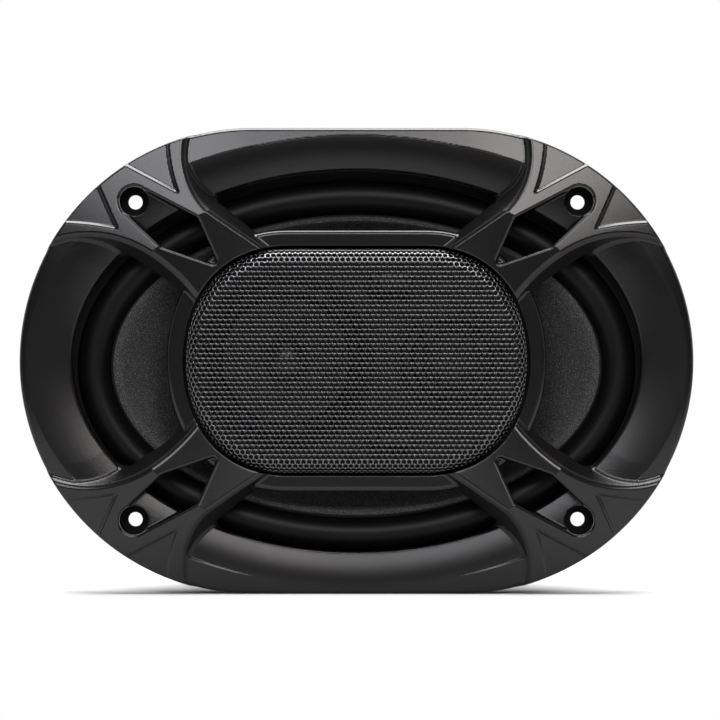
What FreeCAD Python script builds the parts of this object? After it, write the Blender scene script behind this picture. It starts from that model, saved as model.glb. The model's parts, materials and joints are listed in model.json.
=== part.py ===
import FreeCAD
import Part
import math
import os

# Coaxial car speaker of the 6 x 9 inch size. A moulded front frame with four forked arms
# carries an oval pod in front of the woofer cone. The pod holds a midrange driver and a
# dome tweeter behind a perforated steel grille. A pressed steel basket carries the cone,
# its surround and spider, and the ferrite motor.
#
# Every piece is modelled with X to the right, Y up the speaker and Z out of its front,
# with Z = 0 on the rear face of the basket's flange, where it lies on the panel. The last
# step stands each piece up: the front then faces -Y and +Z is up. Sizes are millimetres.

V = FreeCAD.Vector

# Outline and fixing
OUTLINE_HALF_LENGTH = 118.0
OUTLINE_HALF_HEIGHT = 81.5
FIXING_SPACING_X = 155.5
FIXING_SPACING_Y = 111.5
FIXING_HOLE_RADIUS = 2.5
SHEET = 1.2  # steel of the basket, flange included

# Front frame: lip, bowl and the ridge that runs round over the arms
FRAME_EDGE_HEIGHT = 8.0  # lip above the flange's rear face, at the outline
ARM_STEP = 2.0  # arms above the lip at the outline
RIDGE_HEIGHT = 15.0
RIDGE_INSET_X = 32.7
RIDGE_INSET_Y = 24.2
LIP_WIDTH = 2.4
BOWL_HALF_LENGTH = 99.8  # inner edge of the bowl
BOWL_HALF_HEIGHT = 67.0
BOWL_EDGE_HEIGHT = 2.4
BOWL_TOP_HEIGHT = 8.6
BOWL_SHOULDER_HEIGHT = 6.4
SKIRT_OVERHANG = 2.6  # frame's skirt outside the flange
SKIRT_GAP = 0.2

# Arms, in plan at ridge height, in the quadrant where X and Y are positive
ARM_UPPER_EDGE = [(62.3, 78.0), (61.5, 66.8), (51.9, 52.3), (42.7, 45.2), (33.3, 38.1)]
ARM_LOWER_EDGE = [(108.0, 43.8), (89.9, 45.1), (71.5, 37.1), (62.2, 30.5), (54.6, 22.9)]
ARM_FLARE = 0.45  # how far a flank spreads for each millimetre of depth
ARM_UNDERSIDE = 8.0
ARM_REACH = 60.0  # how far an edge runs on past its end points
WINDOW_UPPER = (55.4, 49.8)
WINDOW_LOWER = (67.9, 39.7)
WINDOW_TIP = (47.9, 32.9)
WINDOW_TIP_RADIUS = 1.3
POCKET_RADIUS = 5.1
POCKET_FLOOR = 3.4
PANEL_TIP_RADIUS = 1.3
PANEL_DEPTH = 0.8
UPPER_PANEL = [(61.6, 57.9), (64.3, 66.5), (65.0, 88.0), (92.0, 74.1)]
LOWER_PANEL = [(83.0, 45.7), (92.5, 47.4), (114.0, 47.7), (102.0, 88.0)]

# Pod: the oval ring, the grille in it and the tray that closes it
POD_HALF_LENGTH = 60.6  # inside of the ring
POD_HALF_HEIGHT = 40.1
POD_FLAT = 24.0  # half of the straight stretch along the top
POD_WALL = 5.8
POD_FULLNESS = 0.60
POD_FRONT = 10.0
POD_REAR = 3.8
POD_EDGE_RADIUS = 1.8
POD_FACE = 12.2  # where the arms' sloping face meets the grille's opening
GRILLE_CLEARANCE = 0.8
GRILLE_SHEET = 0.8
GRILLE_FRONT = 13.2
GRILLE_EDGE_RADIUS = 5.0
GRILLE_PITCH = 6.0
GRILLE_HOLE = 3.8  # across flats
TRAY_PLATE = 2.0
TRAY_INSET = 0.8

# Small screws
SCREW_RADIUS = 1.0
SCREW_HEAD_RADIUS = 1.9
SCREW_HEAD_HEIGHT = 1.1
FRAME_SCREW_INSET_X = 48.0  # from the outline
FRAME_SCREW_INSET_Y = 15.5
FRAME_SCREW_LENGTH = 8.0
TRAY_SCREW_LENGTH = 6.0

# Woofer cone and surround
WOOFER_DROP = 1.8  # the woofer sits this much lower than the middle of the frame
CONE_HALF_LENGTH = 86.0
CONE_HALF_HEIGHT = 52.8
CONE_RIM = 1.6
CONE_RIM_FRONT = -5.2
CONE_THICKNESS = 1.0
CONE_NECK_Z = -32.0
ROLL_RADIUS = 6.0
ROLL_GAP = 0.8  # from the cone's edge to the foot of the roll
SURROUND_THICKNESS = 0.8
SURROUND_LAND = 6.0
GASKET_INSET = 0.6
GASKET_WIDTH = 2.6
LAND_CLEARANCE = 0.4

# Voice coil, spider and dust cap
FORMER_RADIUS = 17.5
FORMER_WALL = 0.3
FORMER_FRONT = -31.0
FORMER_REAR = -57.0
GLUE_GAP = 0.1
COIL_THICKNESS = 0.8
COIL_HEIGHT = 13.0
DUST_CAP_RADIUS = 18.5
DUST_CAP_RISE = 6.0
DUST_CAP_THICKNESS = 0.8
SPIDER_Z = -37.2
SPIDER_EDGE_GAP = 0.5
SPIDER_LAND = 6.0
SPIDER_INNER_LAND = 2.0
SPIDER_THICKNESS = 0.6
SPIDER_WAVES = 4
SPIDER_WAVE_HEIGHT = 2.4  # from a valley to a crest
SPIDER_GLUE_GAP = 0.3

# Basket
LOWER_CUP_RADIUS = 45.2
LEDGE_WIDTH = 6.0  # spider's ledge, out to the wall
BASE_Z = -47.0
BASE_HOLE_RADIUS = 24.0
WINDOW_COUNT = 10
WINDOW_TOP = -12.0
WINDOW_BOTTOM = -31.0
WINDOW_TOP_WIDTH = 22.0
WINDOW_BOTTOM_WIDTH = 17.0
WINDOW_CORNER = 3.0
RIVET_COUNT = 6
RIVET_CIRCLE_RADIUS = 36.0
RIVET_RADIUS = 2.0
RIVET_HEAD_RADIUS = 3.6
RIVET_HEAD_HEIGHT = 1.0
RIVET_DEPTH = 5.0

# Motor
PLATE_RADIUS = 42.0
PLATE_THICKNESS = 6.0
PLATE_HOLE_RADIUS = 19.0
PLATE_CHAMFER = 1.5
MAGNET_RADIUS = 46.0
MAGNET_HOLE_RADIUS = 25.0
MAGNET_THICKNESS = 17.0
MAGNET_CHAMFER = 1.5
POLE_RADIUS = 16.6
POLE_VENT_RADIUS = 5.5
POLE_TOP_Z = -46.6
BOOT_WALL = 2.5
BOOT_CLEARANCE = 0.1
BOOT_FRONT = -50.0
BOOT_LIP_RADIUS = 36.0

# Terminal block on the basket's lower side
TERMINAL_HALF_WIDTH = 17.0
TERMINAL_TOP = -11.0
TERMINAL_BOTTOM = -26.0
TERMINAL_PROUD = 0.43  # block's outer face beyond the wall at the block's top
COLLAR_HALF_WIDTH = 12.5
COLLAR_TOP = -16.0
COLLAR_BOTTOM = -21.0
COLLAR_REACH = 5.4  # collar's inner face inside the wall
TAB_SPACING = 14.0
TAB_THICKNESS = 0.8
POSITIVE_TAB_WIDTH = 6.3
NEGATIVE_TAB_WIDTH = 4.8
TAB_REACH = 3.5  # lug beyond the collar
TAB_DEPTH = 3.2  # blade's inner face behind the block's outer face
TAB_REAR = -37.0
TAB_Z = -18.5
LEAD_RADIUS = 0.6
LEAD_DROP = 6.0
LEAD_BENDS = [(0.85, 16.5, 5.5), (0.65, 8.5, -0.4)]  # share of tab's x, from former, from neck
LEAD_END = -2.0

# Midrange driver
MID_X = -24.8
MID_FLANGE_RADIUS = 31.0
MID_FLANGE = 1.5
MID_CUP_RADIUS = 25.5
MID_CUP_WALL = 1.2
MID_BODY_DEPTH = 8.0  # front of its magnet system behind the tray's front
MID_BODY_RADIUS = 16.0
MID_PLATE = 2.0
MID_MAGNET = 5.0
MID_MAGNET_HOLE = 9.4
MID_POLE_RADIUS = 6.2
MID_FORMER_RADIUS = 7.0
MID_FORMER_WALL = 0.25
MID_COIL = 0.5
MID_GAP_RADIUS = 8.0
MID_CONE_RADIUS = 22.0
MID_ROLL_RADIUS = 2.4
MID_CONE_DEPTH = 5.6
MID_CAP_RISE = 3.6
MID_SKIN = 0.6
MID_TRAVEL_GAP = 0.3

# Tweeter
TWEETER_X = 33.5
TWEETER_FLANGE_RADIUS = 18.0
TWEETER_FLANGE = 3.0
TWEETER_CUP_RADIUS = 13.5
TWEETER_CUP_DEPTH = 9.0
TWEETER_CUP_WALL = 2.0
TWEETER_MAGNET_RADIUS = 8.0
TWEETER_MAGNET = 4.0
TWEETER_PLATE = 2.0
TWEETER_DOME_RADIUS = 10.0
TWEETER_DOME_RISE = 4.2
TWEETER_FORMER_WALL = 0.25
TWEETER_ROLL_RADIUS = 1.4
TWEETER_SKIN = 0.4
SEAT_CLEARANCE = 0.4

# Crossover capacitors in the tray
CAPACITOR_RADIUS = 4.0
CAPACITOR_LENGTH = 14.0
CAPACITOR_X = 12.0
CAPACITOR_Y = 27.0

# Levels and half sizes that follow from the sizes above
MESH_HALF_LENGTH = POD_HALF_LENGTH - GRILLE_CLEARANCE
MESH_HALF_HEIGHT = POD_HALF_HEIGHT - GRILLE_CLEARANCE
ROLL_HALF_LENGTH = CONE_HALF_LENGTH + ROLL_GAP + ROLL_RADIUS
ROLL_HALF_HEIGHT = CONE_HALF_HEIGHT + ROLL_GAP + ROLL_RADIUS
RECESS_HALF_LENGTH = ROLL_HALF_LENGTH + ROLL_RADIUS + SURROUND_LAND + LAND_CLEARANCE
RECESS_HALF_HEIGHT = ROLL_HALF_HEIGHT + ROLL_RADIUS + SURROUND_LAND + LAND_CLEARANCE
SURROUND_BASE = CONE_RIM_FRONT - CONE_THICKNESS - SURROUND_THICKNESS
WALL_HALF_LENGTH = ROLL_HALF_LENGTH + ROLL_RADIUS + 1.0
WALL_HALF_HEIGHT = ROLL_HALF_HEIGHT + ROLL_RADIUS + 1.0
MAGNET_FRONT = BASE_Z - PLATE_THICKNESS
MAGNET_REAR = MAGNET_FRONT - MAGNET_THICKNESS
YOKE_REAR = MAGNET_REAR - PLATE_THICKNESS
COIL_MIDDLE = BASE_Z - PLATE_THICKNESS / 2
LEDGE_RADIUS = LOWER_CUP_RADIUS + LEDGE_WIDTH
SPIDER_RADIUS = LEDGE_RADIUS - SHEET - SPIDER_EDGE_GAP
FRAME_SCREW_X = OUTLINE_HALF_LENGTH - FRAME_SCREW_INSET_X
FRAME_SCREW_Y = OUTLINE_HALF_HEIGHT - FRAME_SCREW_INSET_Y
WALL_SLOPE = (WALL_HALF_HEIGHT - LEDGE_RADIUS) / (SURROUND_BASE - SPIDER_Z)
TERMINAL_OUTER_Y = -(LEDGE_RADIUS + WALL_SLOPE * (TERMINAL_TOP - SPIDER_Z) + TERMINAL_PROUD)
COLLAR_INNER_Y = -(LEDGE_RADIUS + WALL_SLOPE * (TAB_Z - SPIDER_Z) - COLLAR_REACH)
TAB_INNER_Y = COLLAR_INNER_Y + TAB_REACH
TAB_OUTER_Y = TERMINAL_OUTER_Y + TAB_DEPTH
TRAY_FRONT = POD_REAR
TRAY_REAR = POD_REAR - TRAY_PLATE
MID_BODY_Z = TRAY_FRONT - MID_BODY_DEPTH
MID_CONE_NECK_Z = TRAY_FRONT - MID_CONE_DEPTH
TWEETER_CUP_REAR = TRAY_FRONT - TWEETER_CUP_DEPTH
ABOVE = 40.0  # well clear of the frame's front, for cutting tools


def disc(wire):
    """Flat face inside a closed wire."""
    return Part.Face(wire)


def prism(wire, bottom, top):
    """The wire, drawn at Z = 0, raised into a solid from one level to another."""
    face = disc(wire)
    face.translate(V(0, 0, bottom))
    return face.extrude(V(0, 0, top - bottom))


def stadium(half_length, half_height, z=0.0):
    """Two half circles joined by straight sides."""
    s = half_length - half_height
    r = half_height
    right = Part.Arc(V(s, -r, z), V(s + r, 0, z), V(s, r, z)).toShape()
    left = Part.Arc(V(-s, r, z), V(-s - r, 0, z), V(-s, -r, z)).toShape()
    top = Part.makeLine(V(s, r, z), V(-s, r, z))
    bottom = Part.makeLine(V(-s, -r, z), V(s, -r, z))
    return Part.Wire([right, top, left, bottom])


def ellipse(half_length, half_height, z=0.0):
    """An ellipse, long in X."""
    if abs(half_length - half_height) < 1e-6:
        return Part.Wire([Part.makeCircle(half_length, V(0, 0, z))])
    return Part.Wire([Part.Ellipse(V(0, 0, z), half_length, half_height).toShape()])


def oval(half_length, half_height, z=0.0):
    """The pod's oval: flat along the top and bottom, with full rounded ends."""
    flat = POD_FLAT
    pull_x = (half_length - flat) * POD_FULLNESS
    pull_y = half_height * POD_FULLNESS
    edges = []
    for sx, sy in ((1, 1), (-1, 1), (-1, -1), (1, -1)):
        quarter = [
            V(sx * half_length, 0, z),
            V(sx * half_length, sy * pull_y, z),
            V(sx * (flat + pull_x), sy * half_height, z),
            V(sx * flat, sy * half_height, z),
        ]
        if sx * sy < 0:
            quarter.reverse()
        curve = Part.BezierCurve()
        curve.setPoles(quarter)
        edges.append(curve.toShape())
    top = Part.makeLine(V(flat, half_height, z), V(-flat, half_height, z))
    bottom = Part.makeLine(V(-flat, -half_height, z), V(flat, -half_height, z))
    return Part.Wire([edges[0], top, edges[1], edges[2], bottom, edges[3]])


def loft(wires, ruled=True):
    """A solid through closed wires that have the same edges."""
    return Part.makeLoft(wires, True, ruled)


def cylinder(radius, bottom, top, x=0.0, y=0.0):
    return Part.makeCylinder(radius, top - bottom, V(x, y, bottom))


def tube(outer, inner, bottom, top, x=0.0, y=0.0):
    return cylinder(outer, bottom, top, x, y).cut(cylinder(inner, bottom, top, x, y))


def block(x_range, y_range, z_range):
    x0, x1 = sorted(x_range)
    y0, y1 = sorted(y_range)
    z0, z1 = sorted(z_range)
    return Part.makeBox(x1 - x0, y1 - y0, z1 - z0, V(x0, y0, z0))


def turned(profile, x=0.0, y=0.0):
    """A profile of (radius, z) corners turned round Z. A corner given with three values,
    (radius, z, "via"), is the middle of an arc between its neighbours."""
    edges = []
    i = 0
    count = len(profile)
    while i < count:
        start = profile[i]
        follow = profile[(i + 1) % count]
        if len(follow) == 3:
            end = profile[(i + 2) % count]
            arc = Part.Arc(V(start[0], 0, start[1]), V(follow[0], 0, follow[1]), V(end[0], 0, end[1]))
            edges.append(arc.toShape())
            i += 2
        else:
            edges.append(Part.makeLine(V(start[0], 0, start[1]), V(follow[0], 0, follow[1])))
            i += 1
    solid = disc(Part.Wire(edges)).revolve(V(0, 0, 0), V(0, 0, 1), 360)
    solid.translate(V(x, y, 0))
    return solid


def in_each_quadrant(shape):
    """A shape of the first quadrant and its three mirror images."""
    right = [shape, shape.mirror(V(0, 0, 0), V(0, 1, 0))]
    return right + [s.mirror(V(0, 0, 0), V(1, 0, 0)) for s in right]


def fuse(shapes):
    return shapes[0].multiFuse(shapes[1:]).removeSplitter()


def fillet_vertical(solid, radius, at):
    """Rounds the vertical edges that pass nearest to the given plan points."""
    chosen = []
    for x, y in at:
        upright = [e for e in solid.Edges if abs(e.BoundBox.ZLength - solid.BoundBox.ZLength) < 1e-6]
        chosen.append(min(upright, key=lambda e: math.hypot(e.CenterOfMass.x - x, e.CenterOfMass.y - y)))
    return solid.makeFillet(radius, chosen)


def circle_through(a, m, b):
    """Centre of the circle through three plan points."""
    d = 2 * (a[0] * (m[1] - b[1]) + m[0] * (b[1] - a[1]) + b[0] * (a[1] - m[1]))
    sa, sm, sb = (p[0] ** 2 + p[1] ** 2 for p in (a, m, b))
    x = (sa * (m[1] - b[1]) + sm * (b[1] - a[1]) + sb * (a[1] - m[1])) / d
    y = (sa * (b[0] - m[0]) + sm * (a[0] - b[0]) + sb * (m[0] - a[0])) / d
    return x, y


def unit(x, y):
    length = math.hypot(x, y)
    return x / length, y / length


def moved(point, direction, distance):
    return point[0] + direction[0] * distance, point[1] + direction[1] * distance


def arm_edge(points, spread):
    """Plan points of one side of an arm, moved outwards by spread: two arcs that meet at
    the ridge. Both arcs curve away from the arm, so their centres lie outside it."""
    a, m1, b, m2, c = points
    first = circle_through(a, m1, b)
    second = circle_through(b, m2, c)
    out = [unit(first[0] - p[0], first[1] - p[1]) for p in (a, m1, b)]
    out += [unit(second[0] - p[0], second[1] - p[1]) for p in (b, m2, c)]
    at_ridge = unit(out[2][0] + out[3][0], out[2][1] + out[3][1])
    ways = [out[0], out[1], at_ridge, out[4], out[5]]
    return [moved(p, w, spread) for p, w in zip(points, ways)], ways


def arm_wire(spread, z):
    """Plan outline of one arm at one level, running past the outline and into the pod."""
    upper, upper_out = arm_edge(ARM_UPPER_EDGE, spread)
    lower, lower_out = arm_edge(ARM_LOWER_EDGE, spread)

    def run_on(points, ways, end):
        way = ways[end]
        along = (way[1], -way[0])
        away = points[end][0] - points[2][0], points[end][1] - points[2][1]
        if along[0] * away[0] + along[1] * away[1] < 0:
            along = (-along[0], -along[1])
        return along

    upper_start = moved(upper[0], run_on(upper, upper_out, 0), ARM_REACH)
    upper_end = moved(upper[4], run_on(upper, upper_out, 4), POD_FLAT / 2)
    lower_start = moved(lower[0], run_on(lower, lower_out, 0), ARM_REACH)
    lower_end = moved(lower[4], run_on(lower, lower_out, 4), POD_FLAT / 2)
    up = [V(x, y, z) for x, y in [upper_start] + upper + [upper_end]]
    low = [V(x, y, z) for x, y in [lower_end] + lower[::-1] + [lower_start]]
    edges = []
    for side in (up, low):
        edges.append(Part.makeLine(side[0], side[1]))
        edges.append(Part.Arc(side[1], side[2], side[3]).toShape())
        edges.append(Part.Arc(side[3], side[4], side[5]).toShape())
        edges.append(Part.makeLine(side[5], side[6]))
    inner = Part.makeLine(up[6], low[0])
    outer = Part.makeLine(low[6], up[0])
    return Part.Wire(edges[:4] + [inner] + edges[4:] + [outer])


def arm_roof():
    """Everything under the arms' faces: rising from the outline to the ridge, and falling
    from the ridge to the pod."""
    edge = FRAME_EDGE_HEIGHT + ARM_STEP
    ridge_length = OUTLINE_HALF_LENGTH - RIDGE_INSET_X
    ridge_height = OUTLINE_HALF_HEIGHT - RIDGE_INSET_Y
    base = prism(stadium(OUTLINE_HALF_LENGTH, OUTLINE_HALF_HEIGHT), 0, edge)
    rise = loft([
        stadium(OUTLINE_HALF_LENGTH, OUTLINE_HALF_HEIGHT, edge),
        stadium(ridge_length, ridge_height, RIDGE_HEIGHT),
    ])
    fall = loft([
        stadium(POD_HALF_LENGTH, POD_HALF_HEIGHT, POD_FACE),
        stadium(ridge_length, ridge_height, RIDGE_HEIGHT),
    ])
    return base.fuse(rise).cut(fall)


def tangent_point(centre, radius, point, side):
    """Where a line from a plan point touches a circle, on the side asked for."""
    dx, dy = point[0] - centre[0], point[1] - centre[1]
    turn = math.acos(radius / math.hypot(dx, dy)) * side
    angle = math.atan2(dy, dx) + turn
    return centre[0] + radius * math.cos(angle), centre[1] + radius * math.sin(angle)


def polygon(points):
    corners = [V(x, y, 0) for x, y in points]
    return Part.makePolygon(corners + corners[:1])


def arm_window():
    """Window through one arm: a round pocket over the fixing hole that runs to a point."""
    hole = (FIXING_SPACING_X / 2, FIXING_SPACING_Y / 2)
    upper = tangent_point(hole, POCKET_RADIUS, WINDOW_UPPER, -1)
    lower = tangent_point(hole, POCKET_RADIUS, WINDOW_LOWER, 1)
    outline = [WINDOW_UPPER, WINDOW_TIP, WINDOW_LOWER, lower, upper]
    slot = prism(polygon(outline), 0, ABOVE)
    slot = fillet_vertical(slot, WINDOW_TIP_RADIUS, [WINDOW_TIP])
    return slot.fuse(cylinder(POCKET_RADIUS, 0, ABOVE, *hole))


def panel_recess(corners, roof):
    """Shallow sunk panel at the outer end of an arm: a tip, one curved side and one
    straight side, open to the outline, with a floor that follows the arm's face."""
    tip, middle, end, far = corners
    curved = Part.Arc(V(*tip, 0), V(*middle, 0), V(*end, 0)).toShape()
    across = Part.makeLine(V(*end, 0), V(*far, 0))
    back = Part.makeLine(V(*far, 0), V(*tip, 0))
    solid = prism(Part.Wire([curved, across, back]), FRAME_EDGE_HEIGHT / 2, ABOVE)
    solid = fillet_vertical(solid, PANEL_TIP_RADIUS, [tip])
    floor = roof.copy()
    floor.translate(V(0, 0, -PANEL_DEPTH))
    return solid.cut(floor)


def bowl_space():
    """The space inside the bowl: a convex slope from the lip down to the inner edge."""
    top_length = OUTLINE_HALF_LENGTH - LIP_WIDTH
    top_height = OUTLINE_HALF_HEIGHT - LIP_WIDTH
    shoulder_length = (top_length + BOWL_HALF_LENGTH) / 2
    shoulder_height = (top_height + BOWL_HALF_HEIGHT) / 2
    slope = loft([
        ellipse(BOWL_HALF_LENGTH, BOWL_HALF_HEIGHT, BOWL_EDGE_HEIGHT),
        ellipse(shoulder_length, shoulder_height, BOWL_SHOULDER_HEIGHT),
        ellipse(top_length, top_height, BOWL_TOP_HEIGHT),
        ellipse(top_length + LIP_WIDTH, top_height + LIP_WIDTH, BOWL_TOP_HEIGHT + ARM_STEP),
    ], ruled=False)
    shaft = prism(ellipse(BOWL_HALF_LENGTH, BOWL_HALF_HEIGHT), 0, BOWL_EDGE_HEIGHT)
    return slope.fuse(shaft)


def frame_lip():
    """Outer ring of the frame under its gently falling lip, still without its bowl."""
    rise = (RIDGE_HEIGHT - FRAME_EDGE_HEIGHT - ARM_STEP) / RIDGE_INSET_Y
    inset = RIDGE_INSET_Y / 2
    base = prism(stadium(OUTLINE_HALF_LENGTH, OUTLINE_HALF_HEIGHT), SHEET, FRAME_EDGE_HEIGHT)
    slope = loft([
        stadium(OUTLINE_HALF_LENGTH, OUTLINE_HALF_HEIGHT, FRAME_EDGE_HEIGHT),
        stadium(
            OUTLINE_HALF_LENGTH - inset,
            OUTLINE_HALF_HEIGHT - inset,
            FRAME_EDGE_HEIGHT + inset * rise,
        ),
    ])
    return base.fuse(slope)


def frame_arms():
    """The four forked arms, from the outline to the pod, clear of the cone beneath."""
    roof = arm_roof()
    depth = RIDGE_HEIGHT - SHEET
    flanks = loft([arm_wire(depth * ARM_FLARE, SHEET), arm_wire(0.0, RIDGE_HEIGHT)])
    arm = flanks.common(roof)
    room = prism(ellipse(BOWL_HALF_LENGTH, BOWL_HALF_HEIGHT), 0, ARM_UNDERSIDE)
    arm = arm.cut(room)
    window = arm_window()
    arm = arm.cut(window)
    for corners in (UPPER_PANEL, LOWER_PANEL):
        arm = arm.cut(panel_recess(corners, roof))
    return in_each_quadrant(arm)


def pod_ring():
    """Oval ring of the frame that the arms carry, rounded along its front outer edge."""
    outer = prism(oval(POD_HALF_LENGTH + POD_WALL, POD_HALF_HEIGHT + POD_WALL), POD_REAR, POD_FRONT)
    front = [e for e in outer.Edges if e.BoundBox.ZMin > POD_FRONT - 1e-3]
    return outer.makeFillet(POD_EDGE_RADIUS, front)


def pod_screw_places():
    """Plan places of the four tray screws, in the middle of the pod's wall."""
    x = POD_HALF_LENGTH + POD_WALL / 2
    y = POD_HALF_HEIGHT + POD_WALL / 2
    return [(x, 0), (-x, 0), (0, y), (0, -y)]


def fixing_places():
    x, y = FIXING_SPACING_X / 2, FIXING_SPACING_Y / 2
    return [(x, y), (-x, y), (-x, -y), (x, -y)]


def frame_screw_places():
    x, y = FRAME_SCREW_X, FRAME_SCREW_Y
    return [(x, y), (-x, y), (-x, -y), (x, -y)]


def flange_wire():
    """Outline of the basket's flange, which the frame's skirt surrounds."""
    return stadium(OUTLINE_HALF_LENGTH - SKIRT_OVERHANG, OUTLINE_HALF_HEIGHT - SKIRT_OVERHANG)


def front_frame():
    """One moulding: lip, bowl, arms, pod ring and the skirt that hides the flange's edge."""
    ring = frame_lip().cut(bowl_space())
    body = fuse([ring] + frame_arms() + [pod_ring()])
    body = body.cut(prism(oval(POD_HALF_LENGTH, POD_HALF_HEIGHT), 0, ABOVE))
    skirt = prism(stadium(OUTLINE_HALF_LENGTH, OUTLINE_HALF_HEIGHT), 0, SHEET)
    inside = stadium(
        OUTLINE_HALF_LENGTH - SKIRT_OVERHANG + SKIRT_GAP,
        OUTLINE_HALF_HEIGHT - SKIRT_OVERHANG + SKIRT_GAP,
    )
    skirt = skirt.cut(prism(inside, 0, SHEET))
    body = fuse([body, skirt])
    holes = []
    for x, y in fixing_places():
        holes.append(cylinder(FIXING_HOLE_RADIUS, 0, ABOVE, x, y))
        holes.append(cylinder(POCKET_RADIUS, POCKET_FLOOR, ABOVE, x, y))
    for x, y in frame_screw_places():
        holes.append(cylinder(SCREW_RADIUS, 0, FRAME_SCREW_LENGTH + GLUE_GAP, x, y))
    for x, y in pod_screw_places():
        top = TRAY_REAR + TRAY_SCREW_LENGTH + GLUE_GAP
        holes.append(cylinder(SCREW_RADIUS, POD_REAR, top, x, y))
    return body.cut(Part.Compound(holes))


def grille_holes(half_length, half_height):
    """Six-sided holes in staggered rows, kept inside the flat front of the grille."""
    row_step = GRILLE_PITCH * math.sqrt(3) / 2
    corner = GRILLE_HOLE / math.sqrt(3)
    rows = int(half_height / row_step) + 1
    columns = int(half_length / GRILLE_PITCH) + 1
    holes = []
    for row in range(-rows, rows + 1):
        for column in range(-columns, columns + 1):
            x = (column + 0.5 * (row % 2)) * GRILLE_PITCH
            y = row * row_step
            along = max(0.0, abs(x) - POD_FLAT) / (half_length - POD_FLAT - corner)
            up = abs(y) / (half_height - corner)
            if along ** 2.2 + up ** 2.2 > 1:
                continue
            corners = []
            for k in range(6):
                angle = math.radians(60 * k + 30)
                corners.append((x + corner * math.cos(angle), y + corner * math.sin(angle)))
            holes.append(prism(polygon(corners), GRILLE_FRONT - 2 * GRILLE_SHEET, ABOVE))
    return Part.Compound(holes)


def mesh_grille():
    """Pressed oval pan of perforated sheet, its rim standing on the tray."""
    pan = prism(oval(MESH_HALF_LENGTH, MESH_HALF_HEIGHT), TRAY_FRONT, GRILLE_FRONT)
    front = [e for e in pan.Edges if e.BoundBox.ZMin > GRILLE_FRONT - 1e-3]
    pan = pan.makeFillet(GRILLE_EDGE_RADIUS, front)
    rear = [f for f in pan.Faces if f.BoundBox.ZMax < TRAY_FRONT + 1e-3]
    pan = pan.makeThickness(rear, -GRILLE_SHEET, 1e-3)
    flat_length = MESH_HALF_LENGTH - GRILLE_EDGE_RADIUS
    flat_height = MESH_HALF_HEIGHT - GRILLE_EDGE_RADIUS
    return pan.cut(grille_holes(flat_length, flat_height))


def driver_tray():
    """Plate that closes the pod from behind and seats the two small drivers."""
    length = POD_HALF_LENGTH + POD_WALL - TRAY_INSET
    height = POD_HALF_HEIGHT + POD_WALL - TRAY_INSET
    plate = prism(oval(length, height), TRAY_REAR, TRAY_FRONT)
    holes = [
        cylinder(MID_CUP_RADIUS + SEAT_CLEARANCE, TRAY_REAR, TRAY_FRONT, MID_X),
        cylinder(TWEETER_CUP_RADIUS + SEAT_CLEARANCE, TRAY_REAR, TRAY_FRONT, TWEETER_X),
    ]
    for x, y in pod_screw_places():
        holes.append(cylinder(SCREW_RADIUS, TRAY_REAR, TRAY_FRONT, x, y))
    return plate.cut(Part.Compound(holes))


def screw(length, x, y, z, countersunk):
    """Small screw pointing to the front. Its head's rear face, or the seat under its flat
    head, is at z."""
    r = SCREW_RADIUS
    head = SCREW_HEAD_RADIUS
    if countersunk:
        profile = [(0, 0), (head, 0), (r, SCREW_HEAD_HEIGHT), (r, length), (0, length)]
    else:
        profile = [(0, -SCREW_HEAD_HEIGHT), (head, -SCREW_HEAD_HEIGHT), (head, 0), (r, 0), (r, length), (0, length)]
    solid = turned(profile, x, y)
    solid.translate(V(0, 0, z))
    return solid


def frame_screws():
    """Countersunk screws from behind that hold the frame on the flange."""
    places = frame_screw_places()
    return Part.Compound([screw(FRAME_SCREW_LENGTH, x, y, 0, True) for x, y in places])


def tray_screws():
    places = pod_screw_places()
    return Part.Compound([screw(TRAY_SCREW_LENGTH, x, y, TRAY_REAR, False) for x, y in places])


def wall_shape(inset):
    """The filled shape inside the basket's tapering wall."""
    return loft([
        ellipse(LEDGE_RADIUS - inset, LEDGE_RADIUS - inset, SPIDER_Z),
        ellipse(WALL_HALF_LENGTH - inset, WALL_HALF_HEIGHT - inset, SURROUND_BASE),
    ])


def basket_window(angle):
    """Cutting tool for one window: a rounded trapezium pushed out from the middle."""
    top, bottom = WINDOW_TOP_WIDTH / 2, WINDOW_BOTTOM_WIDTH / 2
    corners = [
        V(0, -bottom, WINDOW_BOTTOM),
        V(0, bottom, WINDOW_BOTTOM),
        V(0, top, WINDOW_TOP),
        V(0, -top, WINDOW_TOP),
    ]
    tool = disc(Part.makePolygon(corners + corners[:1])).extrude(V(OUTLINE_HALF_LENGTH, 0, 0))
    long_edges = [e for e in tool.Edges if e.BoundBox.XLength > OUTLINE_HALF_LENGTH - 1e-3]
    tool = tool.makeFillet(WINDOW_CORNER, long_edges)
    tool.rotate(V(0, 0, 0), V(0, 0, 1), angle)
    return tool


def window_angles():
    """Directions of the windows, evenly spaced round the oval, with none at the terminals."""
    angles = []
    for k in range(WINDOW_COUNT):
        turn = 2 * math.pi * (k + 0.25 * WINDOW_COUNT) / WINDOW_COUNT
        x = WALL_HALF_LENGTH * math.cos(turn)
        y = WALL_HALF_HEIGHT * math.sin(turn)
        if abs(x) < TERMINAL_HALF_WIDTH and y < 0:
            continue
        angles.append(math.degrees(math.atan2(y, x)))
    return angles


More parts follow.
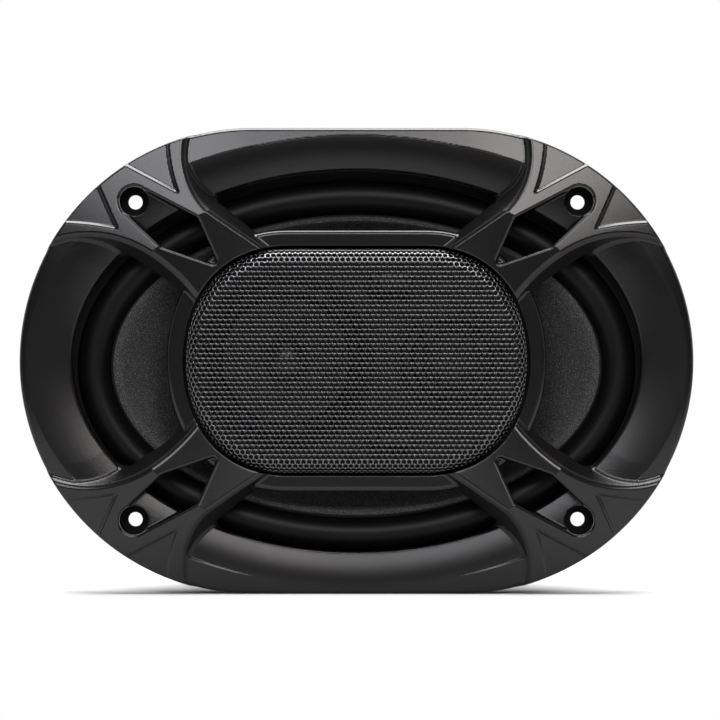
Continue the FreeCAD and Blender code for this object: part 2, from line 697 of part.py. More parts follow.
def basket():
    """Pressed steel: flange, recess for the surround, windowed wall, spider ledge, cup."""
    flange = prism(flange_wire(), 0, SHEET)
    flange.translate(V(0, WOOFER_DROP, 0))
    step = prism(ellipse(RECESS_HALF_LENGTH + SHEET, RECESS_HALF_HEIGHT + SHEET), SURROUND_BASE - SHEET, SHEET)
    recess = prism(ellipse(RECESS_HALF_LENGTH, RECESS_HALF_HEIGHT), SURROUND_BASE, SHEET)
    wall = wall_shape(0.0)
    inside = wall_shape(SHEET)
    ledge = tube(LEDGE_RADIUS, LOWER_CUP_RADIUS - SHEET, SPIDER_Z - SHEET, SPIDER_Z)
    cup = tube(LOWER_CUP_RADIUS, LOWER_CUP_RADIUS - SHEET, BASE_Z, SPIDER_Z - SHEET)
    base = tube(LOWER_CUP_RADIUS, BASE_HOLE_RADIUS, BASE_Z, BASE_Z + SHEET)
    top_opening = prism(ellipse(WALL_HALF_LENGTH - SHEET, WALL_HALF_HEIGHT - SHEET), SURROUND_BASE - SHEET, SHEET)
    shell = fuse([flange, step]).cut(recess).cut(top_opening)
    shell = fuse([shell, wall.cut(inside)])
    shell = fuse([shell, ledge, cup, base])
    shell = shell.cut(inside)
    tools = [basket_window(angle) for angle in window_angles()]
    for x, y in fixing_places():
        tools.append(cylinder(FIXING_HOLE_RADIUS, 0, SHEET, x, y + WOOFER_DROP))
    for x, y in frame_screw_places():
        tools.append(turned([(0, 0), (SCREW_HEAD_RADIUS, 0), (SCREW_RADIUS, SCREW_HEAD_HEIGHT),
                             (SCREW_RADIUS, SHEET), (0, SHEET)], x, y + WOOFER_DROP))
    for x, y in rivet_places():
        tools.append(cylinder(RIVET_RADIUS, BASE_Z, BASE_Z + SHEET, x, y))
    tools.append(block((-COLLAR_HALF_WIDTH, COLLAR_HALF_WIDTH), (TERMINAL_OUTER_Y, COLLAR_INNER_Y),
                       (COLLAR_BOTTOM, COLLAR_TOP)))
    return shell.cut(Part.Compound(tools))


def rivet_places():
    places = []
    for k in range(RIVET_COUNT):
        angle = 2 * math.pi * k / RIVET_COUNT
        places.append((RIVET_CIRCLE_RADIUS * math.cos(angle), RIVET_CIRCLE_RADIUS * math.sin(angle)))
    return places


def basket_rivets():
    """Rivets that hold the basket's base on the motor's front plate."""
    seat = BASE_Z + SHEET
    profile = [
        (0, seat - RIVET_DEPTH), (RIVET_RADIUS, seat - RIVET_DEPTH), (RIVET_RADIUS, seat),
        (RIVET_HEAD_RADIUS, seat), (RIVET_HEAD_RADIUS * 0.7, seat + RIVET_HEAD_HEIGHT),
        (0, seat + RIVET_HEAD_HEIGHT),
    ]
    return Part.Compound([turned(profile, x, y) for x, y in rivet_places()])


def top_plate():
    plate = turned([
        (PLATE_HOLE_RADIUS, MAGNET_FRONT), (PLATE_RADIUS, MAGNET_FRONT),
        (PLATE_RADIUS, BASE_Z), (PLATE_HOLE_RADIUS, BASE_Z),
    ])
    bottom = BASE_Z + SHEET - RIVET_DEPTH
    holes = [cylinder(RIVET_RADIUS, bottom, BASE_Z, x, y) for x, y in rivet_places()]
    return plate.cut(Part.Compound(holes))


def ferrite_magnet():
    c = MAGNET_CHAMFER
    return turned([
        (MAGNET_HOLE_RADIUS, MAGNET_REAR), (MAGNET_RADIUS - c, MAGNET_REAR),
        (MAGNET_RADIUS, MAGNET_REAR + c), (MAGNET_RADIUS, MAGNET_FRONT - c),
        (MAGNET_RADIUS - c, MAGNET_FRONT), (MAGNET_HOLE_RADIUS, MAGNET_FRONT),
    ])


def pole_yoke():
    """Back plate and vented pole in one forging."""
    c = PLATE_CHAMFER
    return turned([
        (POLE_VENT_RADIUS, YOKE_REAR), (PLATE_RADIUS - c, YOKE_REAR),
        (PLATE_RADIUS, YOKE_REAR + c), (PLATE_RADIUS, MAGNET_REAR),
        (POLE_RADIUS, MAGNET_REAR), (POLE_RADIUS, POLE_TOP_Z), (POLE_VENT_RADIUS, POLE_TOP_Z),
    ])


def magnet_boot():
    """Rubber cover stretched over the magnet and the edge of the back plate."""
    inner = MAGNET_RADIUS + BOOT_CLEARANCE
    outer = inner + BOOT_WALL
    rear = YOKE_REAR - BOOT_WALL
    floor = YOKE_REAR - BOOT_CLEARANCE
    return turned([
        (BOOT_LIP_RADIUS, rear), (outer - BOOT_WALL, rear), (outer, rear + BOOT_WALL),
        (outer, BOOT_FRONT), (inner, BOOT_FRONT), (inner, floor), (BOOT_LIP_RADIUS, floor),
    ])


def woofer_cone():
    """Oval cone that narrows to the round voice coil, with a flat rim for the surround."""
    rim_length = CONE_HALF_LENGTH - CONE_RIM
    rim_height = CONE_HALF_HEIGHT - CONE_RIM
    neck = FORMER_RADIUS + GLUE_GAP
    hollow = loft([ellipse(neck, neck, CONE_NECK_Z), ellipse(rim_length, rim_height, CONE_RIM_FRONT)])
    lowered = hollow.copy()
    lowered.translate(V(0, 0, -CONE_THICKNESS))
    skin = lowered.cut(hollow)
    rim_rear = CONE_RIM_FRONT - CONE_THICKNESS
    rim = prism(ellipse(CONE_HALF_LENGTH, CONE_HALF_HEIGHT), rim_rear, CONE_RIM_FRONT)
    cone = fuse([skin, rim.cut(hollow)])
    return cone.cut(cylinder(neck, CONE_NECK_Z - ABOVE, CONE_NECK_Z + ABOVE))


def surround_profile():
    """Half roll with a flat land on each side, drawn where the roll crosses the X axis."""
    r, t = ROLL_RADIUS, SURROUND_THICKNESS
    low = SURROUND_BASE
    inner_land = ROLL_RADIUS + ROLL_GAP + CONE_RIM - LAND_CLEARANCE

    def at(n, z):
        return V(ROLL_HALF_LENGTH + n, 0, z)

    edges = [
        Part.makeLine(at(-inner_land, low), at(-inner_land, low + t)),
        Part.makeLine(at(-inner_land, low + t), at(-math.sqrt(r * r - t * t), low + t)),
        Part.Arc(at(-math.sqrt(r * r - t * t), low + t), at(0, low + r), at(math.sqrt(r * r - t * t), low + t)).toShape(),
        Part.makeLine(at(math.sqrt(r * r - t * t), low + t), at(r + SURROUND_LAND, low + t)),
        Part.makeLine(at(r + SURROUND_LAND, low + t), at(r + SURROUND_LAND, low)),
        Part.makeLine(at(r + SURROUND_LAND, low), at(r - t, low)),
        Part.Arc(at(r - t, low), at(0, low + r - t), at(t - r, low)).toShape(),
        Part.makeLine(at(t - r, low), at(-inner_land, low)),
    ]
    return Part.Wire(edges)


def surround():
    """Rubber half roll swept round the cone."""
    spine = ellipse(ROLL_HALF_LENGTH, ROLL_HALF_HEIGHT)
    swept = spine.makePipeShell([surround_profile()], True, True)
    return Part.makeSolid(Part.makeShell(swept.Faces)) if not swept.Solids else swept.Solids[0]


def front_gasket():
    """Foam ring that the frame presses on the surround's outer land."""
    outer_x = RECESS_HALF_LENGTH - GASKET_INSET
    outer_y = RECESS_HALF_HEIGHT - GASKET_INSET
    inner_x = outer_x - GASKET_WIDTH
    inner_y = outer_y - GASKET_WIDTH
    low = SURROUND_BASE + SURROUND_THICKNESS
    return prism(ellipse(outer_x, outer_y), low, SHEET).cut(prism(ellipse(inner_x, inner_y), low, SHEET))


def voice_coil_former():
    return tube(FORMER_RADIUS, FORMER_RADIUS - FORMER_WALL, FORMER_REAR, FORMER_FRONT)


def voice_coil():
    middle = COIL_MIDDLE
    half = COIL_HEIGHT / 2
    return tube(FORMER_RADIUS + COIL_THICKNESS, FORMER_RADIUS, middle - half, middle + half)


def dome_profile(radius, base, rise, skin, rim):
    """Domed cap of even skin with a narrow flat rim under its edge."""
    sphere = (radius ** 2 + rise ** 2) / (2 * rise)
    half = math.asin(radius / sphere) / 2
    inner = sphere - skin
    centre = base + rise - sphere
    side = math.sqrt(inner ** 2 - (base - centre) ** 2)
    inner_half = math.asin(side / inner) / 2
    return [
        (0, base + rise),
        (sphere * math.sin(half), centre + sphere * math.cos(half), "via"),
        (radius, base), (radius, base - rim), (side, base - rim), (side, base),
        (inner * math.sin(inner_half), centre + inner * math.cos(inner_half), "via"),
        (0, base + rise - skin),
    ]


def dust_cap():
    rim = 0.5
    base = FORMER_FRONT + rim
    return turned(dome_profile(DUST_CAP_RADIUS, base, DUST_CAP_RISE, DUST_CAP_THICKNESS + 0.4, rim))


def spider():
    """Corrugated cloth ring between the basket's ledge and the former: flat lands at the
    level of the valleys, and arcs of even thickness that run into each other."""
    inner = FORMER_RADIUS + SPIDER_GLUE_GAP
    start = inner + SPIDER_INNER_LAND
    end = SPIDER_RADIUS - SPIDER_LAND
    half_chord = (end - start) / (4 * SPIDER_WAVES)
    swing = SPIDER_WAVE_HEIGHT / 2
    radius = (half_chord ** 2 + swing ** 2) / (2 * swing)
    valley = SPIDER_Z + SPIDER_THICKNESS / 2
    turn = math.asin(half_chord / radius)

    def side(offset):
        """One face of the cloth, from the inner land to the outer one."""
        line = [(inner, valley + offset), (start, valley + offset)]
        for k in range(2 * SPIDER_WAVES):
            x0 = start + 2 * half_chord * k
            rising = k % 2 == 0
            low_x, high_x = (x0, x0 + 2 * half_chord) if rising else (x0 + 2 * half_chord, x0)
            way = 1 if rising else -1
            foot = (low_x, valley + radius, radius - offset)
            head = (high_x, valley + 2 * swing - radius, radius + offset)
            foot_mid = (foot[0] + way * foot[2] * math.sin(turn / 2), foot[1] - foot[2] * math.cos(turn / 2), "via")
            head_mid = (head[0] - way * head[2] * math.sin(turn / 2), head[1] + head[2] * math.cos(turn / 2), "via")
            join = (foot[0] + way * foot[2] * math.sin(turn), foot[1] - foot[2] * math.cos(turn))
            far = (head[0], head[1] + head[2]) if rising else (foot[0], foot[1] - foot[2])
            line += [foot_mid, join, head_mid, far] if rising else [head_mid, join, foot_mid, far]
        return line + [(SPIDER_RADIUS, valley + offset)]

    half = SPIDER_THICKNESS / 2
    return turned(side(-half) + side(half)[::-1])


def terminal_block():
    """Moulded block on the basket's wall, with a collar through it round the two tabs."""
    half = TERMINAL_HALF_WIDTH
    body = block((-half, half), (TERMINAL_OUTER_Y, 0), (TERMINAL_BOTTOM, TERMINAL_TOP))
    upright = [e for e in body.Edges if e.BoundBox.ZLength > 1 and e.BoundBox.YMax < -1]
    body = body.makeFillet(2.0, upright)
    body = body.cut(wall_shape(0.0))
    collar = block((-COLLAR_HALF_WIDTH + GLUE_GAP, COLLAR_HALF_WIDTH - GLUE_GAP),
                   (TERMINAL_OUTER_Y / 2 + COLLAR_INNER_Y / 2, COLLAR_INNER_Y),
                   (COLLAR_BOTTOM + GLUE_GAP, COLLAR_TOP - GLUE_GAP))
    solid = fuse([body, collar])
    slots = [tab_blank(x, width) for x, width in tab_places()]
    return solid.cut(Part.Compound(slots))


def tab_places():
    return [(-TAB_SPACING / 2, POSITIVE_TAB_WIDTH), (TAB_SPACING / 2, NEGATIVE_TAB_WIDTH)]


def tab_blank(x, width):
    """One bent tab: a lug inside the basket, and a blade that points to the rear."""
    half = width / 2
    lug = block((x - half, x + half), (TAB_OUTER_Y, TAB_INNER_Y), (TAB_Z, TAB_Z + TAB_THICKNESS))
    blade = block((x - half, x + half), (TAB_OUTER_Y - TAB_THICKNESS, TAB_OUTER_Y), (TAB_REAR, TAB_Z + TAB_THICKNESS))
    return fuse([lug, blade])


def terminal_tabs():
    return Part.Compound([tab_blank(x, width) for x, width in tab_places()])


def lead_path(x):
    """Route of one flexible lead, from its tab's lug to the voice coil former."""
    clear = FORMER_RADIUS + SPIDER_GLUE_GAP
    end_y = -math.sqrt(clear ** 2 - (x / 2) ** 2)
    return [
        V(x, TAB_INNER_Y + 1.0, TAB_Z - LEAD_RADIUS - 0.1),
        V(x, TAB_INNER_Y + 1.5 * LEAD_DROP, TAB_Z - LEAD_DROP),
    ] + [
        V(x * share, -FORMER_RADIUS - out, CONE_NECK_Z + up) for share, out, up in LEAD_BENDS
    ] + [
        V(x / 2, end_y, CONE_NECK_Z + LEAD_END),
    ]


def rounded_path(points):
    """Straight runs joined by arcs as large as the shorter run beside each corner allows."""
    edges = []
    start = points[0]
    for before, corner, after in zip(points, points[1:], points[2:]):
        back = (before - corner)
        ahead = (after - corner)
        trim = 0.45 * min(back.Length, ahead.Length)
        back.normalize()
        ahead.normalize()
        first = corner + back * trim
        last = corner + ahead * trim
        half = back.getAngle(ahead) / 2
        bisector = back + ahead
        bisector.normalize()
        reach = trim / math.cos(half)
        radius = trim * math.tan(half)
        middle = corner + bisector * (reach - radius)
        edges.append(Part.makeLine(start, first))
        edges.append(Part.Arc(first, middle, last).toShape())
        start = last
    edges.append(Part.makeLine(start, points[-1]))
    return Part.Wire(edges)


def round_wire(points, radius):
    """A wire of round section along a rounded path."""
    path = rounded_path(points)
    way = points[1] - points[0]
    section = Part.Wire([Part.makeCircle(radius, points[0], way)])
    return path.makePipeShell([section], True, False)


def tinsel_leads():
    leads = [round_wire(lead_path(x), LEAD_RADIUS) for x, _ in tab_places()]
    return Part.Compound(leads)


def mid_frame():
    """Small steel basket of the midrange driver, open below through its round cup."""
    seat = TRAY_FRONT
    top = seat + MID_FLANGE
    wall = MID_CUP_WALL
    return turned([
        (MID_FLANGE_RADIUS, seat), (MID_FLANGE_RADIUS, top), (MID_CUP_RADIUS - wall, top),
        (MID_CUP_RADIUS - wall, TRAY_REAR), (MID_BODY_RADIUS - wall, MID_BODY_Z + wall),
        (MID_MAGNET_HOLE, MID_BODY_Z + wall), (MID_MAGNET_HOLE, MID_BODY_Z),
        (MID_BODY_RADIUS, MID_BODY_Z), (MID_CUP_RADIUS, TRAY_REAR), (MID_CUP_RADIUS, seat),
    ], MID_X)


def mid_top_plate():
    top = MID_BODY_Z
    return tube(MID_BODY_RADIUS - 1.0, MID_GAP_RADIUS, top - MID_PLATE, top, MID_X)


def mid_magnet():
    top = MID_BODY_Z - MID_PLATE
    return tube(MID_BODY_RADIUS, MID_MAGNET_HOLE, top - MID_MAGNET, top, MID_X)


def mid_yoke():
    top = MID_BODY_Z - MID_PLATE - MID_MAGNET
    return turned([
        (0, top - MID_PLATE), (MID_BODY_RADIUS - 1.0, top - MID_PLATE), (MID_BODY_RADIUS - 1.0, top),
        (MID_POLE_RADIUS, top), (MID_POLE_RADIUS, MID_BODY_Z), (0, MID_BODY_Z),
    ], MID_X)


def mid_cone():
    """Round paper cone with a flat rim on the small surround."""
    rim = TRAY_FRONT + MID_FLANGE + MID_SKIN
    neck = MID_FORMER_RADIUS + GLUE_GAP
    t = MID_SKIN
    return turned([
        (neck, MID_CONE_NECK_Z), (MID_CONE_RADIUS - 1.5, rim), (MID_CONE_RADIUS, rim),
        (MID_CONE_RADIUS, rim + t), (MID_CONE_RADIUS - 1.5, rim + t), (neck, MID_CONE_NECK_Z + t),
    ], MID_X)


def mid_surround():
    """Half roll between the small cone's rim and its flange."""
    base = TRAY_FRONT + MID_FLANGE
    t = MID_SKIN
    inner = MID_CONE_RADIUS + MID_TRAVEL_GAP
    middle = inner + MID_ROLL_RADIUS
    outer = middle + MID_ROLL_RADIUS
    rise = MID_ROLL_RADIUS
    return turned([
        (MID_CONE_RADIUS - 1.2, base), (MID_CONE_RADIUS - 1.2, base + t), (inner, base + t),
        (middle, base + rise + t, "via"), (outer, base + t),
        (MID_FLANGE_RADIUS, base + t), (MID_FLANGE_RADIUS, base), (outer - t, base),
        (middle, base + rise, "via"), (inner + t, base),
    ], MID_X)


def mid_voice_coil():
    """Former and winding of the midrange driver, wound as one piece."""
    r = MID_FORMER_RADIUS
    low = MID_BODY_Z - MID_PLATE - 1.0
    high = MID_BODY_Z + 1.0
    return turned([
        (r - MID_FORMER_WALL, low), (r + MID_COIL, low), (r + MID_COIL, high), (r, high),
        (r, MID_CONE_NECK_Z + 1.5), (r - MID_FORMER_WALL, MID_CONE_NECK_Z + 1.5),
    ], MID_X)


def mid_dust_cap():
    rim = 0.3
    base = MID_CONE_NECK_Z + 1.5 + rim
    return turned(dome_profile(MID_FORMER_RADIUS + 0.6, base, MID_CAP_RISE, MID_SKIN + 0.3, rim), MID_X)


def tweeter_housing():
    """Front plate of the tweeter, flared round the dome, and the sleeve behind it."""
    seat = TRAY_FRONT
    top = seat + TWEETER_FLANGE
    throat = TWEETER_DOME_RADIUS + 2 * TWEETER_ROLL_RADIUS + 0.8
    return turned([
        (TWEETER_FLANGE_RADIUS, seat), (TWEETER_FLANGE_RADIUS, top - 1.0),
        (TWEETER_FLANGE_RADIUS - 1.0, top), (throat + 1.2, top), (throat, seat + 1.0),
        (throat, seat + 0.4), (TWEETER_CUP_RADIUS, seat + 0.4), (TWEETER_CUP_RADIUS, seat),
    ], TWEETER_X)


def tweeter_cup():
    """Steel cup that closes the tweeter's magnetic circuit."""
    outer = TWEETER_CUP_RADIUS
    floor = TWEETER_CUP_REAR + TWEETER_CUP_WALL
    inner = TWEETER_DOME_RADIUS + 0.7
    return turned([
        (0, TWEETER_CUP_REAR), (outer, TWEETER_CUP_REAR), (outer, TRAY_FRONT),
        (inner, TRAY_FRONT), (inner, floor), (0, floor),
    ], TWEETER_X)


def tweeter_magnet():
    floor = TWEETER_CUP_REAR + TWEETER_CUP_WALL
    return cylinder(TWEETER_MAGNET_RADIUS, floor, floor + TWEETER_MAGNET, TWEETER_X)


def tweeter_pole():
    floor = TWEETER_CUP_REAR + TWEETER_CUP_WALL + TWEETER_MAGNET
    return cylinder(TWEETER_DOME_RADIUS - 0.8, floor, floor + TWEETER_PLATE, TWEETER_X)


def tweeter_dome():
    """Silk dome with the voice coil former under its edge, in one solid."""
    r = TWEETER_DOME_RADIUS
    base = TRAY_FRONT + TWEETER_SKIN + 0.4
    solid = turned(dome_profile(r, base, TWEETER_DOME_RISE, TWEETER_SKIN, 0.2), TWEETER_X)
    former = tube(r, r - TWEETER_FORMER_WALL, TRAY_FRONT - 3.0, base - 0.1, TWEETER_X)
    return fuse([solid, former])


def tweeter_surround():
    """Narrow half roll of the same silk, between the dome and the front of the cup."""
    base = TRAY_FRONT
    t = TWEETER_SKIN
    inner = TWEETER_DOME_RADIUS + MID_TRAVEL_GAP
    middle = inner + TWEETER_ROLL_RADIUS
    outer = middle + TWEETER_ROLL_RADIUS
    edge = TWEETER_CUP_RADIUS
    return turned([
        (inner, base), (middle, base + TWEETER_ROLL_RADIUS, "via"), (outer, base),
        (edge, base), (edge, base + t), (outer + t / 2, base + t),
        (middle, base + TWEETER_ROLL_RADIUS + t, "via"), (inner, base + t),
    ], TWEETER_X)


def capacitor(y):
    """Electrolytic capacitor lying in the tray, with its crimped end groove."""
    r = CAPACITOR_RADIUS
    x0 = CAPACITOR_X - CAPACITOR_LENGTH / 2
    z = TRAY_FRONT + r
    profile = [(0, 0), (r - 0.5, 0), (r, 0.5), (r, 2.0), (r - 0.5, 2.6), (r, 3.2),
               (r, CAPACITOR_LENGTH), (0, CAPACITOR_LENGTH)]
    can = turned(profile)
    can.rotate(V(0, 0, 0), V(0, 1, 0), 90)
    can.translate(V(x0, y, z))
    return can


def crossover_capacitors():
    return Part.Compound([capacitor(CAPACITOR_Y), capacitor(-CAPACITOR_Y)])


WOOFER_PIECES = [
    front_gasket, basket, basket_rivets, top_plate, ferrite_magnet, pole_yoke, magnet_boot,
    surround, spider, woofer_cone, voice_coil_former, voice_coil, dust_cap,
    terminal_block, terminal_tabs, tinsel_leads,
]
FRAME_PIECES = [
    front_frame, mesh_grille, driver_tray, tray_screws, frame_screws,
    mid_frame, mid_top_plate, mid_magnet, mid_yoke, mid_cone, mid_surround,
    mid_voice_coil, mid_dust_cap,
    tweeter_housing, tweeter_cup, tweeter_magnet, tweeter_pole, tweeter_dome,
    tweeter_surround, crossover_capacitors,
]


def stand_up(shape):
    """Turns a piece from lying on its back to standing with its front towards -Y."""
    standing = shape.copy()
    standing.rotate(V(0, 0, 0), V(1, 0, 0), 90)
    return standing


def main():
    os.makedirs("parts", exist_ok=True)
    for make in FRAME_PIECES + WOOFER_PIECES:
        drawn = make()
        if make in WOOFER_PIECES:
            drawn.translate(V(0, -WOOFER_DROP, 0))
        solid = stand_up(drawn)
        solid.exportStep(os.path.join("parts", make.__name__ + ".step"))
        print(make.__name__, "solids", len(solid.Solids), "valid", solid.isValid(), "cm3", round(solid.Volume / 1000, 3))


main()
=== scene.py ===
# %% [markdown]
# # Dressing a 6 x 9 inch coaxial car speaker
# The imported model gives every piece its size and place. This lesson adds what the eye
# looks for: the soft edges of the moulded front frame, a grille with its real number of
# holes, rubber, coated pulp, cloth and steel. The real speaker is nearly all black, so
# shape shows only through how each surface catches the light.

# %% Load the speaker and the tools
import json
import math

import bpy
import numpy as np
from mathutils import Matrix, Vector


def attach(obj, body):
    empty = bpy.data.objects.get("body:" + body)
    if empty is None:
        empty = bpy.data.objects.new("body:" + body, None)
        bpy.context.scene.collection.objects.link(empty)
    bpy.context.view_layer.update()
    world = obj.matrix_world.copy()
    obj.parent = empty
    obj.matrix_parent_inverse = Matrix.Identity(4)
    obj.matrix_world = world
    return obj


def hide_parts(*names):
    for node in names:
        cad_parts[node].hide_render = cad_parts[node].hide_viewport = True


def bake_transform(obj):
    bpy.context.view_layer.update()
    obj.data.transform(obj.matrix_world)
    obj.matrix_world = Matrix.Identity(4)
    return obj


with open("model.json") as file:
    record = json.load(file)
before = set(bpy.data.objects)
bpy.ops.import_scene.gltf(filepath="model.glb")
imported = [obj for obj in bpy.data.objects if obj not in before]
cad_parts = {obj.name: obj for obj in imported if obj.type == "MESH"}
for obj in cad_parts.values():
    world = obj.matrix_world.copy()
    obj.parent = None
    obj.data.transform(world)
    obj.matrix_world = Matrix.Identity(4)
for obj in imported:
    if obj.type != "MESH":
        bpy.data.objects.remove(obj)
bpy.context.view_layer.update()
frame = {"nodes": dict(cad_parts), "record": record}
scene = bpy.context.scene

# %% [markdown]
# ## One way to write places
# A speaker is drawn lying on its back: X along it, Y across it and Z out of its front,
# with zero on the rear of the mounting flange. All numbers below are millimetres in that
# drawing. The scene itself is in metres, with the speaker standing up and its front
# towards -Y, so one small function turns the first into the second.

# %% From drawing millimetres to the scene
def stand_up(points):
    points = np.asarray(points, float)
    return np.stack([points[..., 0], -points[..., 2], points[..., 1]], -1) / 1000


def add_piece(name, points, faces, body="frame", crease=None, facing=None):
    """A mesh object from drawing points and faces, smooth shaded, riding on a body.

    facing may give the direction that the real surface faces at each point.
    """
    mesh = bpy.data.meshes.new(name)
    points = stand_up(points).reshape(-1, 3)
    faces = np.asarray(faces, dtype=np.int64)
    sides = faces.shape[1]
    mesh.vertices.add(len(points))
    mesh.vertices.foreach_set("co", points.astype(np.float32).ravel())
    mesh.loops.add(faces.size)
    mesh.loops.foreach_set("vertex_index", faces.astype(np.int32).ravel())
    mesh.polygons.add(len(faces))
    mesh.polygons.foreach_set("loop_start", np.arange(0, faces.size, sides, dtype=np.int32))
    mesh.update(calc_edges=True)
    mesh.validate()
    mesh.shade_smooth()
    if crease is not None:
        mesh.set_sharp_from_angle(angle=math.radians(crease))
    if facing is not None:
        mesh.normals_split_custom_set_from_vertices(stand_up(facing * 1000).tolist())
    piece = bpy.data.objects.new(name, mesh)
    scene.collection.objects.link(piece)
    if body:
        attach(piece, body)
    return piece


print("the flange's rear centre is at", stand_up([0, 0, 0]))

# %% [markdown]
# ## Skins from rings
# A cone, a rolled edge or a turned rubber cover is a row of closed rings, each with the
# same number of points, joined by four-sided faces. That keeps the faces in tidy bands,
# which is what smooth shading needs, and it is how a lathe or a spun mould thinks too.

# %% Join rings into a skin
def ring_faces(rings, around, closed):
    """Faces of a skin whose points are stored ring after ring. closed joins last to first."""
    spans = rings if closed else rings - 1
    i, j = np.meshgrid(np.arange(spans), np.arange(around), indexing="ij")
    nxt, side = (i + 1) % rings, (j + 1) % around
    quads = np.stack([i * around + j, i * around + side, nxt * around + side, nxt * around + j], -1)
    return quads.reshape(-1, 4)


def turned_piece(name, profile, around=96, centre=(0, 0), body="frame", crease=30):
    """A closed (radius, z) profile turned round the speaker's axis."""
    profile = np.asarray(profile, float)
    turn = np.linspace(0, 2 * np.pi, around, endpoint=False)
    r, z = profile[:, 0][:, None], profile[:, 1][:, None]
    points = np.stack([
        centre[0] + r * np.cos(turn), centre[1] + r * np.sin(turn), z + 0 * turn,
    ], -1)
    return add_piece(name, points, ring_faces(len(profile), around, True), body, crease)


print("a cone of 3 rings with 8 points each has", len(ring_faces(3, 8, False)), "faces")

# %% [markdown]
# ## The camera
# The photograph looks straight into the speaker from a little over a metre, so the far
# edge of the bowl and the near edge of the arms line up almost as in a drawing. A long
# lens with a narrow field gives that. The lens is worked out from what the frame's width
# has to fill.

# %% Place the camera
VIEW_DISTANCE = 1.18
VIEW_WIDTH = 0.2517  # width of the picture at the front of the frame
PICTURE_CENTRE = (0.00122, 0.00026)

camera_data = bpy.data.cameras.new("photo_camera")
camera_data.sensor_width = 36.0
camera_data.lens = 36.0 * VIEW_DISTANCE / VIEW_WIDTH
camera_data.clip_end = 20.0
camera = bpy.data.objects.new("photo_camera", camera_data)
camera.location = (PICTURE_CENTRE[0], -VIEW_DISTANCE - 0.009, PICTURE_CENTRE[1])
camera.rotation_euler = (math.radians(90), 0, 0)
scene.collection.objects.link(camera)
scene.camera = camera
print("lens in mm:", round(camera_data.lens, 1))

# %% [markdown]
# ## Plan curves of the front frame
# Seen from the front, the frame is drawn with few curves: the outline, two ovals for the
# bowl, the pod's oval and, in each quarter, the two edges of an arm, its window and two
# sunk panels. They are kept as short lists of points, with arcs through three of them.
# The arms' flanks spread as they go down, as a mould needs, and the frame's fixing holes
# sit in round pockets.

# %% Curves of one quarter
OUTLINE_STRAIGHT, OUTLINE_RADIUS = 36.5, 81.5
FIXING = (77.75, 55.75)
RIDGE_STRAIGHT, RIDGE_RADIUS = 28.0, 57.3
RIDGE_HEIGHT, EDGE_HEIGHT, ARM_STEP = 15.0, 8.0, 2.0
RISE = (RIDGE_HEIGHT - EDGE_HEIGHT - ARM_STEP) / (OUTLINE_RADIUS - RIDGE_RADIUS)
FLARE, FLANK = 0.45, 0.7  # spread for each millimetre of depth: from the ridge down, below the roof
BOWL_HALF = (99.8, 67.0)
BOWL_GROWTH = (15.8, 12.1)
POD_HALF, POD_FLAT, POD_FULLNESS, POD_WALL = (60.6, 40.1), 24.0, 0.60, 5.8
POD_FRONT, POD_REAR, POD_FACE = 10.0, 3.8, 12.2
FIXING_RADIUS, POCKET_RADIUS, POCKET_FLOOR = 2.5, 5.1, 1.6
SKIRT_WIDTH, SKIRT_HEIGHT, BOWL_BACK, PANEL_DEPTH = 2.4, 3.0, 1.2, 0.9
RUN_ON = 60.0  # how far an edge is carried past its end points


def arc_points(start, middle, end, count=40):
    """Points along the arc through three places."""
    (ax, ay), (mx, my), (bx, by) = start, middle, end
    d = 2 * (ax * (my - by) + mx * (by - ay) + bx * (ay - my))
    sa, sm, sb = ax * ax + ay * ay, mx * mx + my * my, bx * bx + by * by
    cx = (sa * (my - by) + sm * (by - ay) + sb * (ay - my)) / d
    cy = (sa * (bx - mx) + sm * (ax - bx) + sb * (mx - ax)) / d
    first, mid, last = (math.atan2(y - cy, x - cx) for x, y in (start, middle, end))
    sweep = (last - first) % (2 * math.pi)
    if (mid - first) % (2 * math.pi) > sweep:
        sweep -= 2 * math.pi
    turn = first + np.linspace(0, 1, count) * sweep
    radius = math.hypot(ax - cx, ay - cy)
    return np.stack([cx + radius * np.cos(turn), cy + radius * np.sin(turn)], -1)


def run_on(curve, length):
    """A point that carries a curve straight on past its last point."""
    way = curve[-1] - curve[-2]
    return curve[-1] + way / np.linalg.norm(way) * length


def arm_side(points):
    """Both arcs of one side of an arm, run on past the outline and into the pod."""
    a, b, c, d, e = points
    side = np.concatenate([arc_points(a, b, c), arc_points(c, d, e)[1:]])
    return np.concatenate([[run_on(side[::-1], RUN_ON)], side, [run_on(side, 12.0)]])


def oval_points(half, count=48):
    """The pod's oval: flat along its top and bottom, full at its ends."""
    t = np.linspace(0, 1, count)
    px = (half[0], half[0], POD_FLAT + (half[0] - POD_FLAT) * POD_FULLNESS, POD_FLAT)
    py = (0.0, half[1] * POD_FULLNESS, half[1], half[1])
    weights = ((1 - t) ** 3, 3 * t * (1 - t) ** 2, 3 * t * t * (1 - t), t ** 3)
    x = sum(w * p for w, p in zip(weights, px))
    y = sum(w * p for w, p in zip(weights, py))
    quarter = np.stack([x, y], -1)
    return np.concatenate([quarter, (quarter * (-1, 1))[::-1], quarter * (-1, -1), (quarter * (1, -1))[::-1]])


arm_outline = np.concatenate([
    arm_side([(62.3, 78.0), (61.5, 66.8), (51.9, 52.3), (42.7, 45.2), (33.3, 38.1)]),
    arm_side([(108.0, 43.8), (89.9, 45.1), (71.5, 37.1), (62.2, 30.5), (54.6, 22.9)])[::-1],
])
window_outline = np.array([(55.4, 49.8), (47.9, 32.9), (67.9, 39.7), (82.06, 52.98), (75.11, 60.1)])
upper_panel = [(61.6, 57.9), (64.3, 66.5), (65.0, 88.0), (92.0, 74.1)]
lower_panel = [(83.0, 45.7), (92.5, 47.4), (114.0, 47.7), (102.0, 88.0)]
print("points in one arm's outline:", len(arm_outline))

